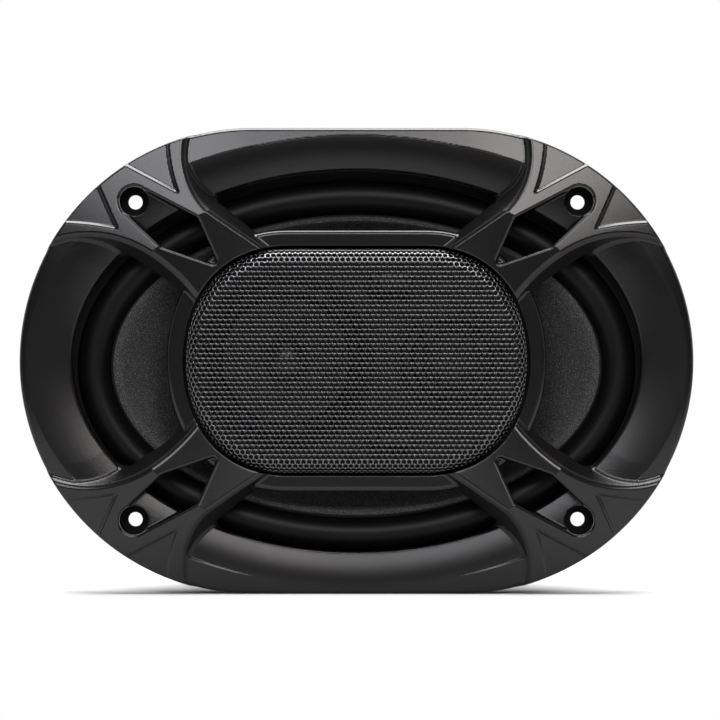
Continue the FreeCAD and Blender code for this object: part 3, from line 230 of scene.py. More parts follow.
# %% [markdown]
# ## Distance maps
# Every curve is turned into a map that says, for each place in the plan, how far away the
# curve is, below zero inside it. Rounding a corner of a shape is then only arithmetic: the
# tips of the windows are rounded by reading their map a little off zero. `meet` keeps what
# lies in both of two shapes and rounds the edge between them. A sunk panel is made with
# it, from an arc on one side and a straight line on the other.

# %% Distance of each place to a closed curve
MAP_STEP = 0.2
map_x = np.arange(0, 119.61, MAP_STEP)
map_y = np.arange(0, 83.21, MAP_STEP)
PLAN_X, PLAN_Y = np.meshgrid(map_x, map_y, indexing="ij")


def distance_map(curve, x=PLAN_X, y=PLAN_Y):
    """Signed distance to a closed line of points, negative inside."""
    best = np.full(x.shape, 1e9)
    inside = np.zeros(x.shape, bool)
    for (ax, ay), (bx, by) in zip(curve, np.roll(curve, -1, axis=0)):
        ex, ey = bx - ax, by - ay
        if ex * ex + ey * ey < 1e-12:
            continue
        wx, wy = x - ax, y - ay
        t = np.clip((wx * ex + wy * ey) / (ex * ex + ey * ey), 0, 1)
        best = np.minimum(best, (wx - ex * t) ** 2 + (wy - ey * t) ** 2)
        if ey != 0:
            crosses = ((ay > y) != (by > y)) & (x < ax + ex * (y - ay) / ey)
            inside ^= crosses
    return np.where(inside, -1, 1) * np.sqrt(best)


def shrink(curve, by):
    """A convex outline moved inwards, so that reading it `by` outside gives round corners."""
    before, after = np.roll(curve, 1, axis=0), np.roll(curve, -1, axis=0)
    first, second = curve - before, after - curve
    first /= np.linalg.norm(first, axis=1)[:, None]
    second /= np.linalg.norm(second, axis=1)[:, None]
    turn = np.sign(np.sum(first[:, 0] * second[:, 1] - first[:, 1] * second[:, 0]))
    normal = np.stack([-(first[:, 1] + second[:, 1]), first[:, 0] + second[:, 0]], -1) * turn
    scale = 1 + np.sum(first * second, axis=1)
    return curve + normal / scale[:, None] * by


TIP_RADIUS = 1.2
hole_distance = np.hypot(PLAN_X - FIXING[0], PLAN_Y - FIXING[1])
window_map = distance_map(shrink(window_outline, TIP_RADIUS)) - TIP_RADIUS
window_map = np.minimum(window_map, hole_distance - POCKET_RADIUS)


def meet(a, b, radius):
    """What lies in both shapes, with a rounded edge."""
    u, v = np.maximum(a + radius, 0), np.maximum(b + radius, 0)
    return np.minimum(np.maximum(a, b), -radius) + np.sqrt(u * u + v * v)


def panel_distance(corners, side):
    """Distance map of a sunk panel: an arc on one side, a straight line on the other, a round tip."""
    tip, middle, end, far = corners
    arc = arc_points(tip, middle, end)
    arc = np.concatenate([[run_on(arc[::-1], RUN_ON)], arc, [run_on(arc, RUN_ON)]])
    far_corners = [(300.0, 300.0), (300.0, -300.0) if side > 0 else (-100.0, 300.0)]
    past_arc = distance_map(np.concatenate([arc, far_corners]))
    across = np.array([tip[1] - far[1], far[0] - tip[0]]) / math.dist(tip, far)
    past_line = (across[0] * (PLAN_X - tip[0]) + across[1] * (PLAN_Y - tip[1])) * side
    return meet(past_arc, -past_line, TIP_RADIUS)


panel_map = np.minimum(panel_distance(upper_panel, 1), panel_distance(lower_panel, -1))
arm_map = distance_map(arm_outline)
pod_map = distance_map(oval_points(POD_HALF))
print("map size:", PLAN_X.shape)

# %% [markdown]
# ## Height maps
# The lip rises gently from the outline. The bowl starts at the lip's own height, so that no
# second edge shows between them, and falls away in a convex slope. The roof over the arms
# rises to a ridge and falls again towards the pod. Each is a height for every place in the
# plan. How far down the bowl a place lies depends on which of a family of ellipses passes
# through it, so that is worked out first.

# %% Heights of lip, bowl and arms
inset = OUTLINE_RADIUS - np.hypot(np.maximum(PLAN_X - OUTLINE_STRAIGHT, 0), PLAN_Y)
lip_height = EDGE_HEIGHT + RISE * inset

bowl_step = np.zeros_like(PLAN_X)
for _ in range(12):
    a = BOWL_HALF[0] + BOWL_GROWTH[0] * bowl_step
    b = BOWL_HALF[1] + BOWL_GROWTH[1] * bowl_step
    radius = np.sqrt((PLAN_X / a) ** 2 + (PLAN_Y / b) ** 2) + 1e-9
    bowl_step = np.clip(bowl_step + (radius - 1) * (a + b) / 28.0, -4.0, 2.5)
BOWL_FALL, BOWL_LIFT, BOWL_REACH = 2.1, 13.0, 14.0
steep = np.maximum(bowl_step - 1, 0)
growth = BOWL_GROWTH[1] + (BOWL_GROWTH[0] - BOWL_GROWTH[1]) * np.minimum(PLAN_X / BOWL_HALF[0], 1) ** 2
bowl_rim = EDGE_HEIGHT + RISE * np.clip(inset - growth * (1 - bowl_step), 0.5, 6.0)
bowl_height = bowl_rim - BOWL_FALL * np.minimum(1 - bowl_step, 1.3) ** 2
bowl_height = np.where(bowl_step < 1, bowl_height, bowl_rim + BOWL_LIFT * steep)
bowl_slope = np.hypot(*np.gradient(bowl_height, MAP_STEP))
bowl_norm = np.sqrt(1 + np.minimum(bowl_slope, 1.2) ** 2)
inside_bowl = -bowl_step * BOWL_REACH


def between_stadiums(outer, inner):
    """How far each place lies from one stadium (0) to another (1); each is straight half, radius."""
    (c0, r0), (c1, r1) = outer, inner
    reach, dc, dr = np.maximum(PLAN_X - c0, -30.0), c1 - c0, r1 - r0
    qa = dc * dc - dr * dr
    qb = -2 * (reach * dc + r0 * dr)
    qc = reach ** 2 + PLAN_Y ** 2 - r0 * r0
    round_end = (-qb - np.sqrt(np.maximum(qb * qb - 4 * qa * qc, 0))) / (2 * qa)
    other = (-qb + np.sqrt(np.maximum(qb * qb - 4 * qa * qc, 0))) / (2 * qa)
    straight = (PLAN_Y - r0) / dr
    picks = []
    for root in (round_end, other):
        centre, size = c0 + dc * root, r0 + dr * root
        picks.append((np.abs(np.hypot(PLAN_X - centre, PLAN_Y) - size) < 1e-6) & (PLAN_X >= centre) & (size > 0))
    step = np.where(picks[0], round_end, np.where(picks[1], other, straight))
    return step


to_ridge = between_stadiums((OUTLINE_STRAIGHT, OUTLINE_RADIUS), (RIDGE_STRAIGHT, RIDGE_RADIUS))
to_pod = between_stadiums((RIDGE_STRAIGHT, RIDGE_RADIUS), (POD_HALF[0] - POD_HALF[1], POD_HALF[1]))
rising = EDGE_HEIGHT + ARM_STEP + (RIDGE_HEIGHT - EDGE_HEIGHT - ARM_STEP) * to_ridge
falling = RIDGE_HEIGHT - (RIDGE_HEIGHT - POD_FACE) * np.minimum(to_pod, 1.4)
roof_height = np.where(to_ridge < 1, rising, falling)
GUSSET, ARM_UNDERSIDE, GUSSET_DROP = 3.5, 8.0, 5.6
under_height = ARM_UNDERSIDE - GUSSET_DROP * np.clip(1 - inside_bowl / GUSSET, 0, 1) ** 2
under_height = np.where(inside_bowl < 0, BOWL_BACK, under_height)
print("ridge height in mm:", round(float(roof_height[pod_map > 0].max()), 2))

# %% [markdown]
# ## The moulding as one field
# Cutting and joining dense meshes leaves slivers along every seam, and a moulded part has
# none: all its edges have a small radius. So the frame is written as a field, one number
# for each place in space, below zero in the plastic. Joins and cuts are sums on that
# number, and each has its own radius. The surface is then drawn where the field is zero.

# %% Rounded joins and cuts
def join(a, b, radius):
    """What lies in either shape, with a filled corner."""
    return -meet(-a, -b, radius)


FIELD_MAPS = {
    "inset": inset, "lip": lip_height, "bowl": bowl_height, "bowl_norm": bowl_norm,
    "inside_bowl": inside_bowl, "roof": roof_height, "under": under_height, "arm": arm_map,
    "window": window_map, "panel": panel_map, "pod": pod_map, "hole": hole_distance,
}


def moulding_field(m, z):
    """The front frame's field at height z over places whose maps are m."""
    ring = meet(z - m["lip"], (z - m["bowl"]) / m["bowl_norm"], 0.15)
    ring = meet(ring, -m["inset"], 1.2)
    flank = (m["arm"] - FLARE * (RIDGE_HEIGHT - m["roof"]) - FLANK * (m["roof"] - z)) / math.hypot(1, FLANK)
    ring = meet(ring, m["inside_bowl"], 0.9)
    ring = meet(ring, BOWL_BACK - z, 0.1)
    skirt = np.maximum(np.maximum(-m["inset"], m["inset"] - SKIRT_WIDTH), np.maximum(-z, z - SKIRT_HEIGHT))
    ring = np.minimum(ring, skirt)
    arm = meet(z - m["roof"], flank, 1.2)
    arm = meet(arm, -m["inset"], 0.7)
    arm = meet(arm, -m["window"], 1.1)
    wall = (m["panel"] + m["roof"] - z) / math.sqrt(2)
    sunk = meet(wall, m["roof"] - PANEL_DEPTH - z, 0.15)
    arm = meet(arm, -sunk, 0.35)
    arm = meet(arm, m["under"] - z, 0.3)
    frame_field = join(ring, arm, 0.9)
    pod_ring = meet(m["pod"] - POD_WALL, z - POD_FRONT, 1.8)
    pod_ring = meet(pod_ring, POD_REAR - z, 0.2)
    frame_field = join(frame_field, pod_ring, 0.5)
    frame_field = meet(frame_field, -m["pod"], 0.4)
    pocket = meet(m["hole"] - POCKET_RADIUS, POCKET_FLOOR - z, 0.1)
    frame_field = meet(frame_field, -pocket, 0.3)
    return meet(frame_field, FIXING_RADIUS - m["hole"], 0.2)


print("maps in the field:", len(FIELD_MAPS))

# %% [markdown]
# ## Drawing the surface
# Space is divided into small cells. Each cell that the surface passes through gets one
# point, and points of neighbouring cells are joined into four-sided faces. The points are
# then slid along the field's slope until they lie exactly on the surface, which takes out
# the stair steps that cells would leave. Each point also keeps the way that the field says
# it faces, so the shading is that of the smooth form. Last, the faces are sorted into three
# zones: the bowl and the arms' steep sides are grained, and the pocket floors get a darker,
# matt finish that paints their shade.

# %% From a field to a mesh
CELL = 0.4


def surface_net(field, origin, cell):
    """Points and faces of the field's zero surface, one point for each cell it crosses."""
    inside = field < 0
    corners = [(i, j, k) for i in (0, 1) for j in (0, 1) for k in (0, 1)]
    nx, ny, nz = (n - 1 for n in field.shape)
    view_of = lambda a, c: a[c[0]:c[0] + nx, c[1]:c[1] + ny, c[2]:c[2] + nz]
    count = sum(view_of(inside, c).astype(np.int8) for c in corners)
    active = np.argwhere((count > 0) & (count < 8))
    number = np.full((nx, ny, nz), -1, np.int32)
    number[tuple(active.T)] = np.arange(len(active))
    value = {c: field[tuple((active + c).T)] for c in corners}
    total = np.zeros((len(active), 3))
    crossings = np.zeros(len(active))
    for c in corners:
        for axis in range(3):
            if c[axis]:
                continue
            d = tuple(1 if n == axis else c[n] for n in range(3))
            a, b = value[c], value[d]
            hit = (a < 0) != (b < 0)
            t = np.where(hit, a / np.where(hit, a - b, 1), 0)
            place = np.array(c, float) + t[:, None] * np.eye(3)[axis]
            total += place * hit[:, None]
            crossings += hit
    points = origin + (active + total / crossings[:, None]) * cell
    faces = []
    for axis in range(3):
        lower = [slice(None)] * 3
        upper = [slice(None)] * 3
        lower[axis], upper[axis] = slice(0, -1), slice(1, None)
        low, high = inside[tuple(lower)], inside[tuple(upper)]
        edges = np.argwhere(low != high)
        b_axis, c_axis = (axis + 1) % 3, (axis + 2) % 3
        keep = (edges[:, b_axis] > 0) & (edges[:, c_axis] > 0)
        keep &= (edges[:, b_axis] < number.shape[b_axis]) & (edges[:, c_axis] < number.shape[c_axis])
        edges = edges[keep]
        quad = []
        for db, dc in ((-1, -1), (0, -1), (0, 0), (-1, 0)):
            at = edges.copy()
            at[:, b_axis] += db
            at[:, c_axis] += dc
            quad.append(number[tuple(at.T)])
        quad = np.stack(quad, -1)
        flip = ~low[tuple(edges.T)]
        quad[flip] = quad[flip][:, ::-1]
        faces.append(quad)
    return points, np.concatenate(faces)


def maps_at(x, y):
    """All maps read between their grid points, for places in any quarter."""
    u = np.clip(np.abs(x) / MAP_STEP, 0, PLAN_X.shape[0] - 1.001)
    v = np.clip(np.abs(y) / MAP_STEP, 0, PLAN_X.shape[1] - 1.001)
    i, j = u.astype(int), v.astype(int)
    fu, fv = u - i, v - j
    result = {}
    for name, grid in FIELD_MAPS.items():
        low = grid[i, j] * (1 - fu) + grid[i + 1, j] * fu
        high = grid[i, j + 1] * (1 - fu) + grid[i + 1, j + 1] * fu
        result[name] = low * (1 - fv) + high * fv
    return result


def slide_onto_surface(points, steps=4, reach=0.05):
    """Moves points along the field's slope until the field there is zero, and tells which way it faces."""
    for _ in range(steps):
        x, y, z = points.T
        here = moulding_field(maps_at(x, y), z)
        slope = np.stack([
            moulding_field(maps_at(x + reach, y), z) - moulding_field(maps_at(x - reach, y), z),
            moulding_field(maps_at(x, y + reach), z) - moulding_field(maps_at(x, y - reach), z),
            moulding_field(maps_at(x, y), z + reach) - moulding_field(maps_at(x, y), z - reach),
        ], -1) / (2 * reach)
        size = np.sum(slope ** 2, axis=1) + 1e-6
        move = -(here / size)[:, None] * slope
        facing = slope / np.sqrt(size)[:, None]
        length = np.linalg.norm(move, axis=1)[:, None] + 1e-9
        points = points + move * np.minimum(1, CELL * 0.5 / length)
    return points, facing


stride = int(round(CELL / MAP_STEP))
coarse = {name: grid[::stride, ::stride] for name, grid in FIELD_MAPS.items()}
levels = np.arange(-0.3, RIDGE_HEIGHT + 1.0, CELL)
quarter_field = np.stack([moulding_field(coarse, z) for z in levels], -1).astype(np.float32)
half_field = np.concatenate([quarter_field[:0:-1], quarter_field], axis=0)
full_field = np.concatenate([half_field[:, :0:-1], half_field], axis=1)
origin = np.array([-(quarter_field.shape[0] - 1) * CELL, -(quarter_field.shape[1] - 1) * CELL, levels[0]])
moulding_points, moulding_faces = surface_net(full_field, origin, CELL)
moulding_points, moulding_facing = slide_onto_surface(moulding_points)
front_moulding = add_piece("front_moulding", moulding_points, moulding_faces, facing=moulding_facing)
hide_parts("front_frame")

face_x, face_y, face_z = moulding_points[moulding_faces].mean(axis=1).T
face_maps = maps_at(face_x, face_y)
in_bowl = np.abs(face_z - face_maps["bowl"]) < 0.5
in_bowl &= (face_maps["inside_bowl"] < 2.0) & (face_maps["inside_bowl"] > -14.2)
steep_side = moulding_facing[moulding_faces].mean(axis=1)[:, 2] < 0.9
steep_side &= (face_maps["arm"] > -0.4) & (face_maps["arm"] < 8)
in_bowl |= steep_side & (face_z > 2.0) & (face_maps["pod"] > POD_WALL + 0.5)
# The pocket floors take a darker, duller finish: painted shade for the deep pockets.
in_pocket = (face_maps["hole"] < 5.3) & (face_z < 2.4)
grain_and_shade_zone = np.where(in_pocket, 2, np.where(in_bowl, 1, 0)).astype(np.int32)
front_moulding.data.polygons.foreach_set("material_index", grain_and_shade_zone)
del quarter_field, half_field, full_field
print("faces in the front moulding:", len(moulding_faces))

# %% [markdown]
# ## The grille
# A perforated sheet is a pattern of six-sided cells, each with a round hole. The flat
# sheet is made first, and each point is then carried onto the pressed pan: points near the
# edge go round a bend and down the rim, so the holes there look narrower from the front,
# as they do on the real one.

# %% A perforated sheet pressed into a pan
HOLE_PITCH, HOLE_RADIUS, HOLE_EDGE, HOLE_SIDES = 1.94, 0.71, 0.25, 12
GRILLE_FRONT, GRILLE_BEND, SHEET_STEEL = 13.2, 5.0, 0.6
GRILLE_HALF = (POD_HALF[0] - 0.8, POD_HALF[1] - 0.8)
GRILLE_REAR = POD_REAR


def nearest_on_curve(curve, places):
    """Signed distance to a closed curve and the way out of it, for many places."""
    start, end = curve, np.roll(curve, -1, axis=0)
    edge = end - start
    length = np.sum(edge ** 2, axis=1)
    start, edge, length = start[length > 1e-9], edge[length > 1e-9], length[length > 1e-9]
    distance, way = [], []
    for block in np.array_split(places, max(1, len(places) // 4000)):
        w = block[:, None] - start
        t = np.clip(np.sum(w * edge, axis=2) / length, 0, 1)
        gap = w - edge * t[..., None]
        best = np.argmin(np.sum(gap ** 2, axis=2), axis=1)
        chosen = gap[np.arange(len(block)), best]
        side = edge[best]
        normal = np.stack([side[:, 1], -side[:, 0]], -1) / np.linalg.norm(side, axis=1)[:, None]
        distance.append(np.sum(chosen * normal, axis=1))
        way.append(normal)
    return np.concatenate(distance), np.concatenate(way)


grille_curve = oval_points(GRILLE_HALF)
bend_length = GRILLE_BEND * math.pi / 2
spare = bend_length - GRILLE_BEND


def press_sheet(places, depth):
    """Flat sheet places carried onto the pan, each at its depth below the outside."""
    distance, way = nearest_on_curve(grille_curve, places)
    run = spare - distance
    turn = np.clip(run / GRILLE_BEND, 0, math.pi / 2)
    inset_to = GRILLE_BEND - (GRILLE_BEND - depth) * np.cos(turn) + np.maximum(run - bend_length, 0)
    height = GRILLE_FRONT - GRILLE_BEND + (GRILLE_BEND - depth) * np.sin(turn) + np.minimum(run, 0)
    plan = places - way * (inset_to + distance)[:, None]
    return np.concatenate([plan, height[:, None]], axis=1)


row_step = HOLE_PITCH * math.sqrt(3) / 2
rows = int(GRILLE_HALF[1] / row_step) + 4
columns = int(GRILLE_HALF[0] / HOLE_PITCH) + 4
centres = np.array([
    ((column + 0.5 * (row % 2)) * HOLE_PITCH, row * row_step)
    for row in range(-rows, rows + 1) for column in range(-columns, columns + 1)
])
depth_in, _ = nearest_on_curve(grille_curve, centres)
centres = centres[depth_in < spare + 1.6]
turn = np.arange(HOLE_SIDES) * 2 * math.pi / HOLE_SIDES
round_cell = np.stack([np.cos(turn), np.sin(turn)], -1)
corner = (np.arange(HOLE_SIDES) % 2 == 1)
six_sided = round_cell * np.where(corner, HOLE_PITCH / math.sqrt(3), HOLE_PITCH / 2)[:, None]
cell_rings = [
    (six_sided, 0.0), (round_cell * (HOLE_RADIUS + HOLE_EDGE), 0.0),
    (round_cell * (HOLE_RADIUS + 0.5 * HOLE_EDGE), 0.13 * HOLE_EDGE),
    (round_cell * (HOLE_RADIUS + 0.13 * HOLE_EDGE), 0.5 * HOLE_EDGE), (round_cell * HOLE_RADIUS, HOLE_EDGE),
    (round_cell * HOLE_RADIUS, SHEET_STEEL), (six_sided, SHEET_STEEL),
]
cell_points = np.concatenate([centres[:, None] + ring for ring, _ in cell_rings], axis=1)
cell_depth = np.concatenate([np.full(HOLE_SIDES, depth) for _, depth in cell_rings])
flat_points = np.concatenate([cell_points, np.broadcast_to(cell_depth[:, None], (*cell_points.shape[:2], 1))], axis=2)
keys, shared = np.unique(np.round(flat_points.reshape(-1, 3), 3), axis=0, return_inverse=True)
shared = shared.reshape(-1)
one_cell = ring_faces(len(cell_rings), HOLE_SIDES, False)
cell_faces = (np.arange(len(centres))[:, None, None] * len(cell_rings) * HOLE_SIDES + one_cell).reshape(-1, 4)
pressed = press_sheet(keys[:, :2], keys[:, 2])
perforated_grille = add_piece("perforated_grille", pressed, shared[cell_faces], crease=50)
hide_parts("mesh_grille")

rim_levels = [GRILLE_FRONT - GRILLE_BEND - 1.0, GRILLE_REAR, GRILLE_REAR, GRILLE_FRONT - GRILLE_BEND - 1.0]
keep = np.linalg.norm(np.roll(grille_curve, -1, axis=0) - grille_curve, axis=1) > 1e-6
rim_curve = grille_curve[keep]
_, rim_out = nearest_on_curve(grille_curve, rim_curve * 1.001)
rim_inner = rim_curve - rim_out * 1.3
rim_outer = rim_curve - rim_out * 0.65
rim = np.stack([np.concatenate([c, np.full((len(c), 1), z)], axis=1)
                for c, z in zip([rim_outer, rim_outer, rim_inner, rim_inner], rim_levels)])
grille_rim = add_piece("grille_rim", rim, ring_faces(4, len(rim_curve), True), crease=40)
print("holes in the grille:", len(centres))

# %% [markdown]
# ## Cone and surround
# The cone is an oval at its edge and a circle at the voice coil, with straight sides
# between them. The surround is a half roll of rubber that lets the cone travel. Its inner
# edge is glued to the cone and its outer edge to the basket, so when the cone moves the
# roll has to bend. A weight for each point, from how far in it lies, is worked out but not used.

# %% The woofer's cone
WOOFER_DROP = 1.8
CONE_HALF, CONE_RIM, CONE_FRONT, CONE_REAR = (86.0, 52.8), 1.6, -5.2, -32.0
NECK_RADIUS, CONE_THICKNESS = 17.6, 1.0
AROUND = 240


def ellipse_ring(half_length, half_height, z):
    turn = np.linspace(0, 2 * np.pi, AROUND, endpoint=False)
    return np.stack([half_length * np.cos(turn), half_height * np.sin(turn) - WOOFER_DROP, z + 0 * turn], -1)


def cone_rings(drop):
    """Rings from the neck to the outer edge, lowered by the skin's thickness for its back."""
    rings = []
    for t in np.linspace(0, 1, 28):
        a = NECK_RADIUS + (CONE_HALF[0] - CONE_RIM - NECK_RADIUS) * t
        b = NECK_RADIUS + (CONE_HALF[1] - CONE_RIM - NECK_RADIUS) * t
        rings.append(ellipse_ring(a, b, CONE_REAR + (CONE_FRONT - CONE_REAR) * t - drop))
    for t in (0.15, 0.6, 1.0):
        grow = CONE_RIM * (t - 1)
        rings.append(ellipse_ring(CONE_HALF[0] + grow, CONE_HALF[1] + grow, CONE_FRONT - drop))
    return rings


cone_points = np.array(cone_rings(0.0) + cone_rings(CONE_THICKNESS)[::-1])
cone_skin = add_piece("cone_skin", cone_points, ring_faces(len(cone_points), AROUND, True), "woofer", 40)
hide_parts("woofer_cone")
print("rings in the cone:", len(cone_points))

# %% The rubber surround
ROLL_HALF = (92.8, 59.6)
ROLL_RADIUS, RUBBER, ROLL_BASE = 6.0, 0.8, -7.0


def follow_cone(piece, inner, outer):
    """Bakes a ring-shaped piece's place into its mesh and works out a weight for each point, 1 at `inner` share and 0
    at `outer`; the weights are not used.
    """
    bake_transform(piece)
    weights = np.clip((outer - piece_spread[piece.name]) / (outer - inner), 0, 1)
    weights = weights * weights * (3 - 2 * weights)


piece_spread = {}
turn = np.linspace(0, 2 * np.pi, AROUND, endpoint=False)
crest = np.stack([ROLL_HALF[0] * np.cos(turn), ROLL_HALF[1] * np.sin(turn)], -1)
crest_out = np.stack([ROLL_HALF[1] * np.cos(turn), ROLL_HALF[0] * np.sin(turn)], -1)
crest_out /= np.linalg.norm(crest_out, axis=1)[:, None]
sweep = np.linspace(math.pi, 0, 25)
upper = [(-8.0, 0.8), (-6.4, 0.8)]
upper += [((ROLL_RADIUS) * math.cos(a), max(ROLL_RADIUS * math.sin(a), 0.8)) for a in sweep]
upper += [(7.4, 0.8), (11.9, 0.8)]
lower_roll = [(11.9, 0.0), (6.0, 0.0)]
lower_roll += [((ROLL_RADIUS - RUBBER) * math.cos(a), (ROLL_RADIUS - RUBBER) * math.sin(a)) for a in sweep[::-1]]
lower_roll += [(-6.0, 0.0), (-8.0, 0.0)]
section = np.array(upper + lower_roll)
surround_points = np.zeros((len(section), AROUND, 3))
surround_points[..., :2] = crest + crest_out * section[:, 0][:, None, None] - (0, WOOFER_DROP)
surround_points[..., 2] = (ROLL_BASE + section[:, 1])[:, None]
surround_roll = add_piece("surround_roll", surround_points, ring_faces(len(section), AROUND, True), None, 60)
piece_spread["surround_roll"] = np.repeat(section[:, 0], AROUND)
follow_cone(surround_roll, -6.0, 6.0)
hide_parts("surround")
print("points in the surround:", surround_points.shape[0] * AROUND)

# %% [markdown]
# ## Spider, dust cap and magnet cover
# Behind the cone, a corrugated cloth ring keeps the coil centred. It is the yellow-brown
# piece that shows through the basket's windows. The dust cap closes the coil, and a rubber
# cover hides the magnet. All three are turned shapes, so their profiles are drawn once and
# spun.

# %% The spider
SPIDER_Z, SPIDER_CLOTH, SPIDER_WAVE, SPIDER_WAVES = -37.2, 0.6, 2.4, 4
spider_start, spider_end, spider_in, spider_out = 19.8, 43.5, 17.8, 49.5
r = np.concatenate([[spider_in], np.linspace(spider_start, spider_end, 101), [spider_out]])
swing = 0.5 - 0.5 * np.cos((r - spider_start) / (spider_end - spider_start) * 2 * np.pi * SPIDER_WAVES)
z = SPIDER_Z + np.where((r >= spider_start) & (r <= spider_end), SPIDER_WAVE * swing, 0)
front_side = np.stack([r, z + SPIDER_CLOTH], -1)
rear_side = np.stack([r, z], -1)[::-1]
spider_profile = np.concatenate([front_side, rear_side])
spider_cloth = turned_piece("spider_cloth", spider_profile, 160, (0, -WOOFER_DROP), None, 60)
piece_spread["spider_cloth"] = np.repeat(np.concatenate([r, r[::-1]]), 160)
follow_cone(spider_cloth, spider_start, spider_end)
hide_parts("spider")
print("spider waves:", SPIDER_WAVES)

# %% Dust cap
CAP_RADIUS, CAP_RISE, CAP_BASE = 18.5, 6.0, -30.5
sphere = (CAP_RADIUS ** 2 + CAP_RISE ** 2) / (2 * CAP_RISE)
half_angle = math.asin(CAP_RADIUS / sphere)
a = np.linspace(0.001, half_angle, 24)
cap_outside = np.stack([sphere * np.sin(a), CAP_BASE + CAP_RISE - sphere * (1 - np.cos(a))], -1)
cap_inside = cap_outside[::-1] * (0.96, 1) - (0, 0.9)
cap_profile = np.concatenate([cap_outside, [(CAP_RADIUS, CAP_BASE - 0.5), (17.2, CAP_BASE - 0.5)], cap_inside[1:]])
cap_dome = turned_piece("cap_dome", cap_profile, 96, (0, -WOOFER_DROP), "woofer", 45)
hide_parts("dust_cap")
print("dust cap rise in mm:", CAP_RISE)

# %% Rubber cover of the magnet
BOOT_OUTER, BOOT_INNER, BOOT_REAR, BOOT_FRONT, BOOT_LIP = 48.6, 46.1, -78.5, -50.0, 36.0


def rounded_corner(centre, radius, first, last, count=8):
    a = np.radians(np.linspace(first, last, count))
    return [(centre[0] + radius * math.cos(t), centre[1] + radius * math.sin(t)) for t in a]


boot_profile = [(BOOT_LIP, BOOT_REAR + 2.3), (BOOT_LIP, BOOT_REAR + 0.6), (BOOT_LIP + 0.6, BOOT_REAR)]
boot_profile += rounded_corner((BOOT_OUTER - 3.5, BOOT_REAR + 3.5), 3.5, -90, 0)
for groove in (-56.5, -60.5, -64.5):
    boot_profile += [(BOOT_OUTER, groove - 1.1), (BOOT_OUTER - 0.5, groove - 0.8),
                     (BOOT_OUTER - 0.5, groove + 0.8), (BOOT_OUTER, groove + 1.1)]
boot_profile = boot_profile[:11] + sorted(boot_profile[11:], key=lambda p: p[1])
boot_profile += rounded_corner((BOOT_OUTER - 0.9, BOOT_FRONT - 0.9), 0.9, 0, 90, 5)
boot_profile += [(BOOT_INNER, BOOT_FRONT), (BOOT_INNER, BOOT_REAR + 2.4), (BOOT_LIP, BOOT_REAR + 2.4)]
rubber_cover = turned_piece("rubber_cover", boot_profile, 128, (0, -WOOFER_DROP), crease=50)
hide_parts("magnet_boot")
print("points in the cover's profile:", len(boot_profile))

# %% [markdown]
# ## The flexible leads
# Two braided leads carry the current from the fixed tabs to the moving voice coil. They
# are fine copper strands laid round a cotton core, so they bend for years without
# breaking. Each one is a round cord swept along soft bends, with the braid as four low
# ridges that wind round it. The end at the coil goes with the cone, the end at the tab
# stays, and the slack between them takes up the travel.

# %% Braided cords from the tabs to the coil
LEAD_RADIUS, BRAID_HEIGHT, BRAID_TURN = 0.6, 0.09, 5.0
LEAD_ROUTE = [
    (7.0, -49.036, -19.2), (7.0, -41.036, -24.5), (5.95, -32.2, -26.5), (4.55, -24.2, -32.4),
    (3.5, -15.653, -34.0),
]


def soft_bends(corners, steps=10):
    """Straight runs joined by smooth bends, as evenly spaced points."""
    corners = np.array(corners, float)
    line = [corners[0]]
    for before, corner, after in zip(corners, corners[1:], corners[2:]):
        trim = 0.45 * min(np.linalg.norm(before - corner), np.linalg.norm(after - corner))
        first = corner + (before - corner) / np.linalg.norm(before - corner) * trim
        last = corner + (after - corner) / np.linalg.norm(after - corner) * trim
        t = np.linspace(0, 1, steps)[:, None]
        line.extend((1 - t) ** 2 * first + 2 * t * (1 - t) * corner + t * t * last)
    line = np.array(line + [corners[-1]])
    along = np.concatenate([[0], np.cumsum(np.linalg.norm(np.diff(line, axis=0), axis=1))])
    even = np.linspace(0, along[-1], 140)
    return np.stack([np.interp(even, along, line[:, n]) for n in range(3)], -1), even


def braided_cord(corners):
    """Points of one cord with their share of the way to the coil."""
    line, along = soft_bends(corners)
    ahead = np.gradient(line, axis=0)
    ahead /= np.linalg.norm(ahead, axis=1)[:, None]
    side = np.cross(ahead, (1.0, 0.0, 0.0))
    side /= np.linalg.norm(side, axis=1)[:, None]
    up = np.cross(side, ahead)
    angle = np.linspace(0, 2 * np.pi, 20, endpoint=False)
    wind = along[:, None] / BRAID_TURN * 2 * np.pi
    radius = LEAD_RADIUS - BRAID_HEIGHT * (1 - np.abs(np.cos(2 * angle - wind) * np.cos(2 * angle + wind)))
    cord = line[:, None] + radius[..., None] * (
        np.cos(angle)[None, :, None] * side[:, None] + np.sin(angle)[None, :, None] * up[:, None]
    )
    tips = [centre + (ring - centre) * 0.02 for ring, centre in ((cord[0], line[0]), (cord[-1], line[-1]))]
    cord = np.concatenate([tips[:1], cord, tips[1:]])
    share = np.concatenate([[0], along / along[-1], [1]])
    return cord, np.repeat(share, 20)


lead_points, lead_faces, lead_share = [], [], []
for sign in (-1, 1):
    cord, share = braided_cord([(sign * x, y - WOOFER_DROP, z) for x, y, z in LEAD_ROUTE])
    lead_faces.append(ring_faces(len(cord), 20, False) + len(lead_points) * cord.shape[0] * 20)
    lead_points.append(cord.reshape(-1, 3))
    lead_share.append(share)
flexible_leads = add_piece("flexible_leads", np.concatenate(lead_points), np.concatenate(lead_faces), None)
piece_spread["flexible_leads"] = np.concatenate(lead_share)
follow_cone(flexible_leads, 0.92, 0.35)
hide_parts("tinsel_leads")
print("points in the two leads:", sum(len(cord) for cord in lead_points))

# %% [markdown]
# ## Screws
# The small countersunk screws behind the flange and the ones under the pod's tray share
# one head: a flat disc with a cross recess. Each head is modelled with its recess, because
# a painted cross would vanish in the next light.

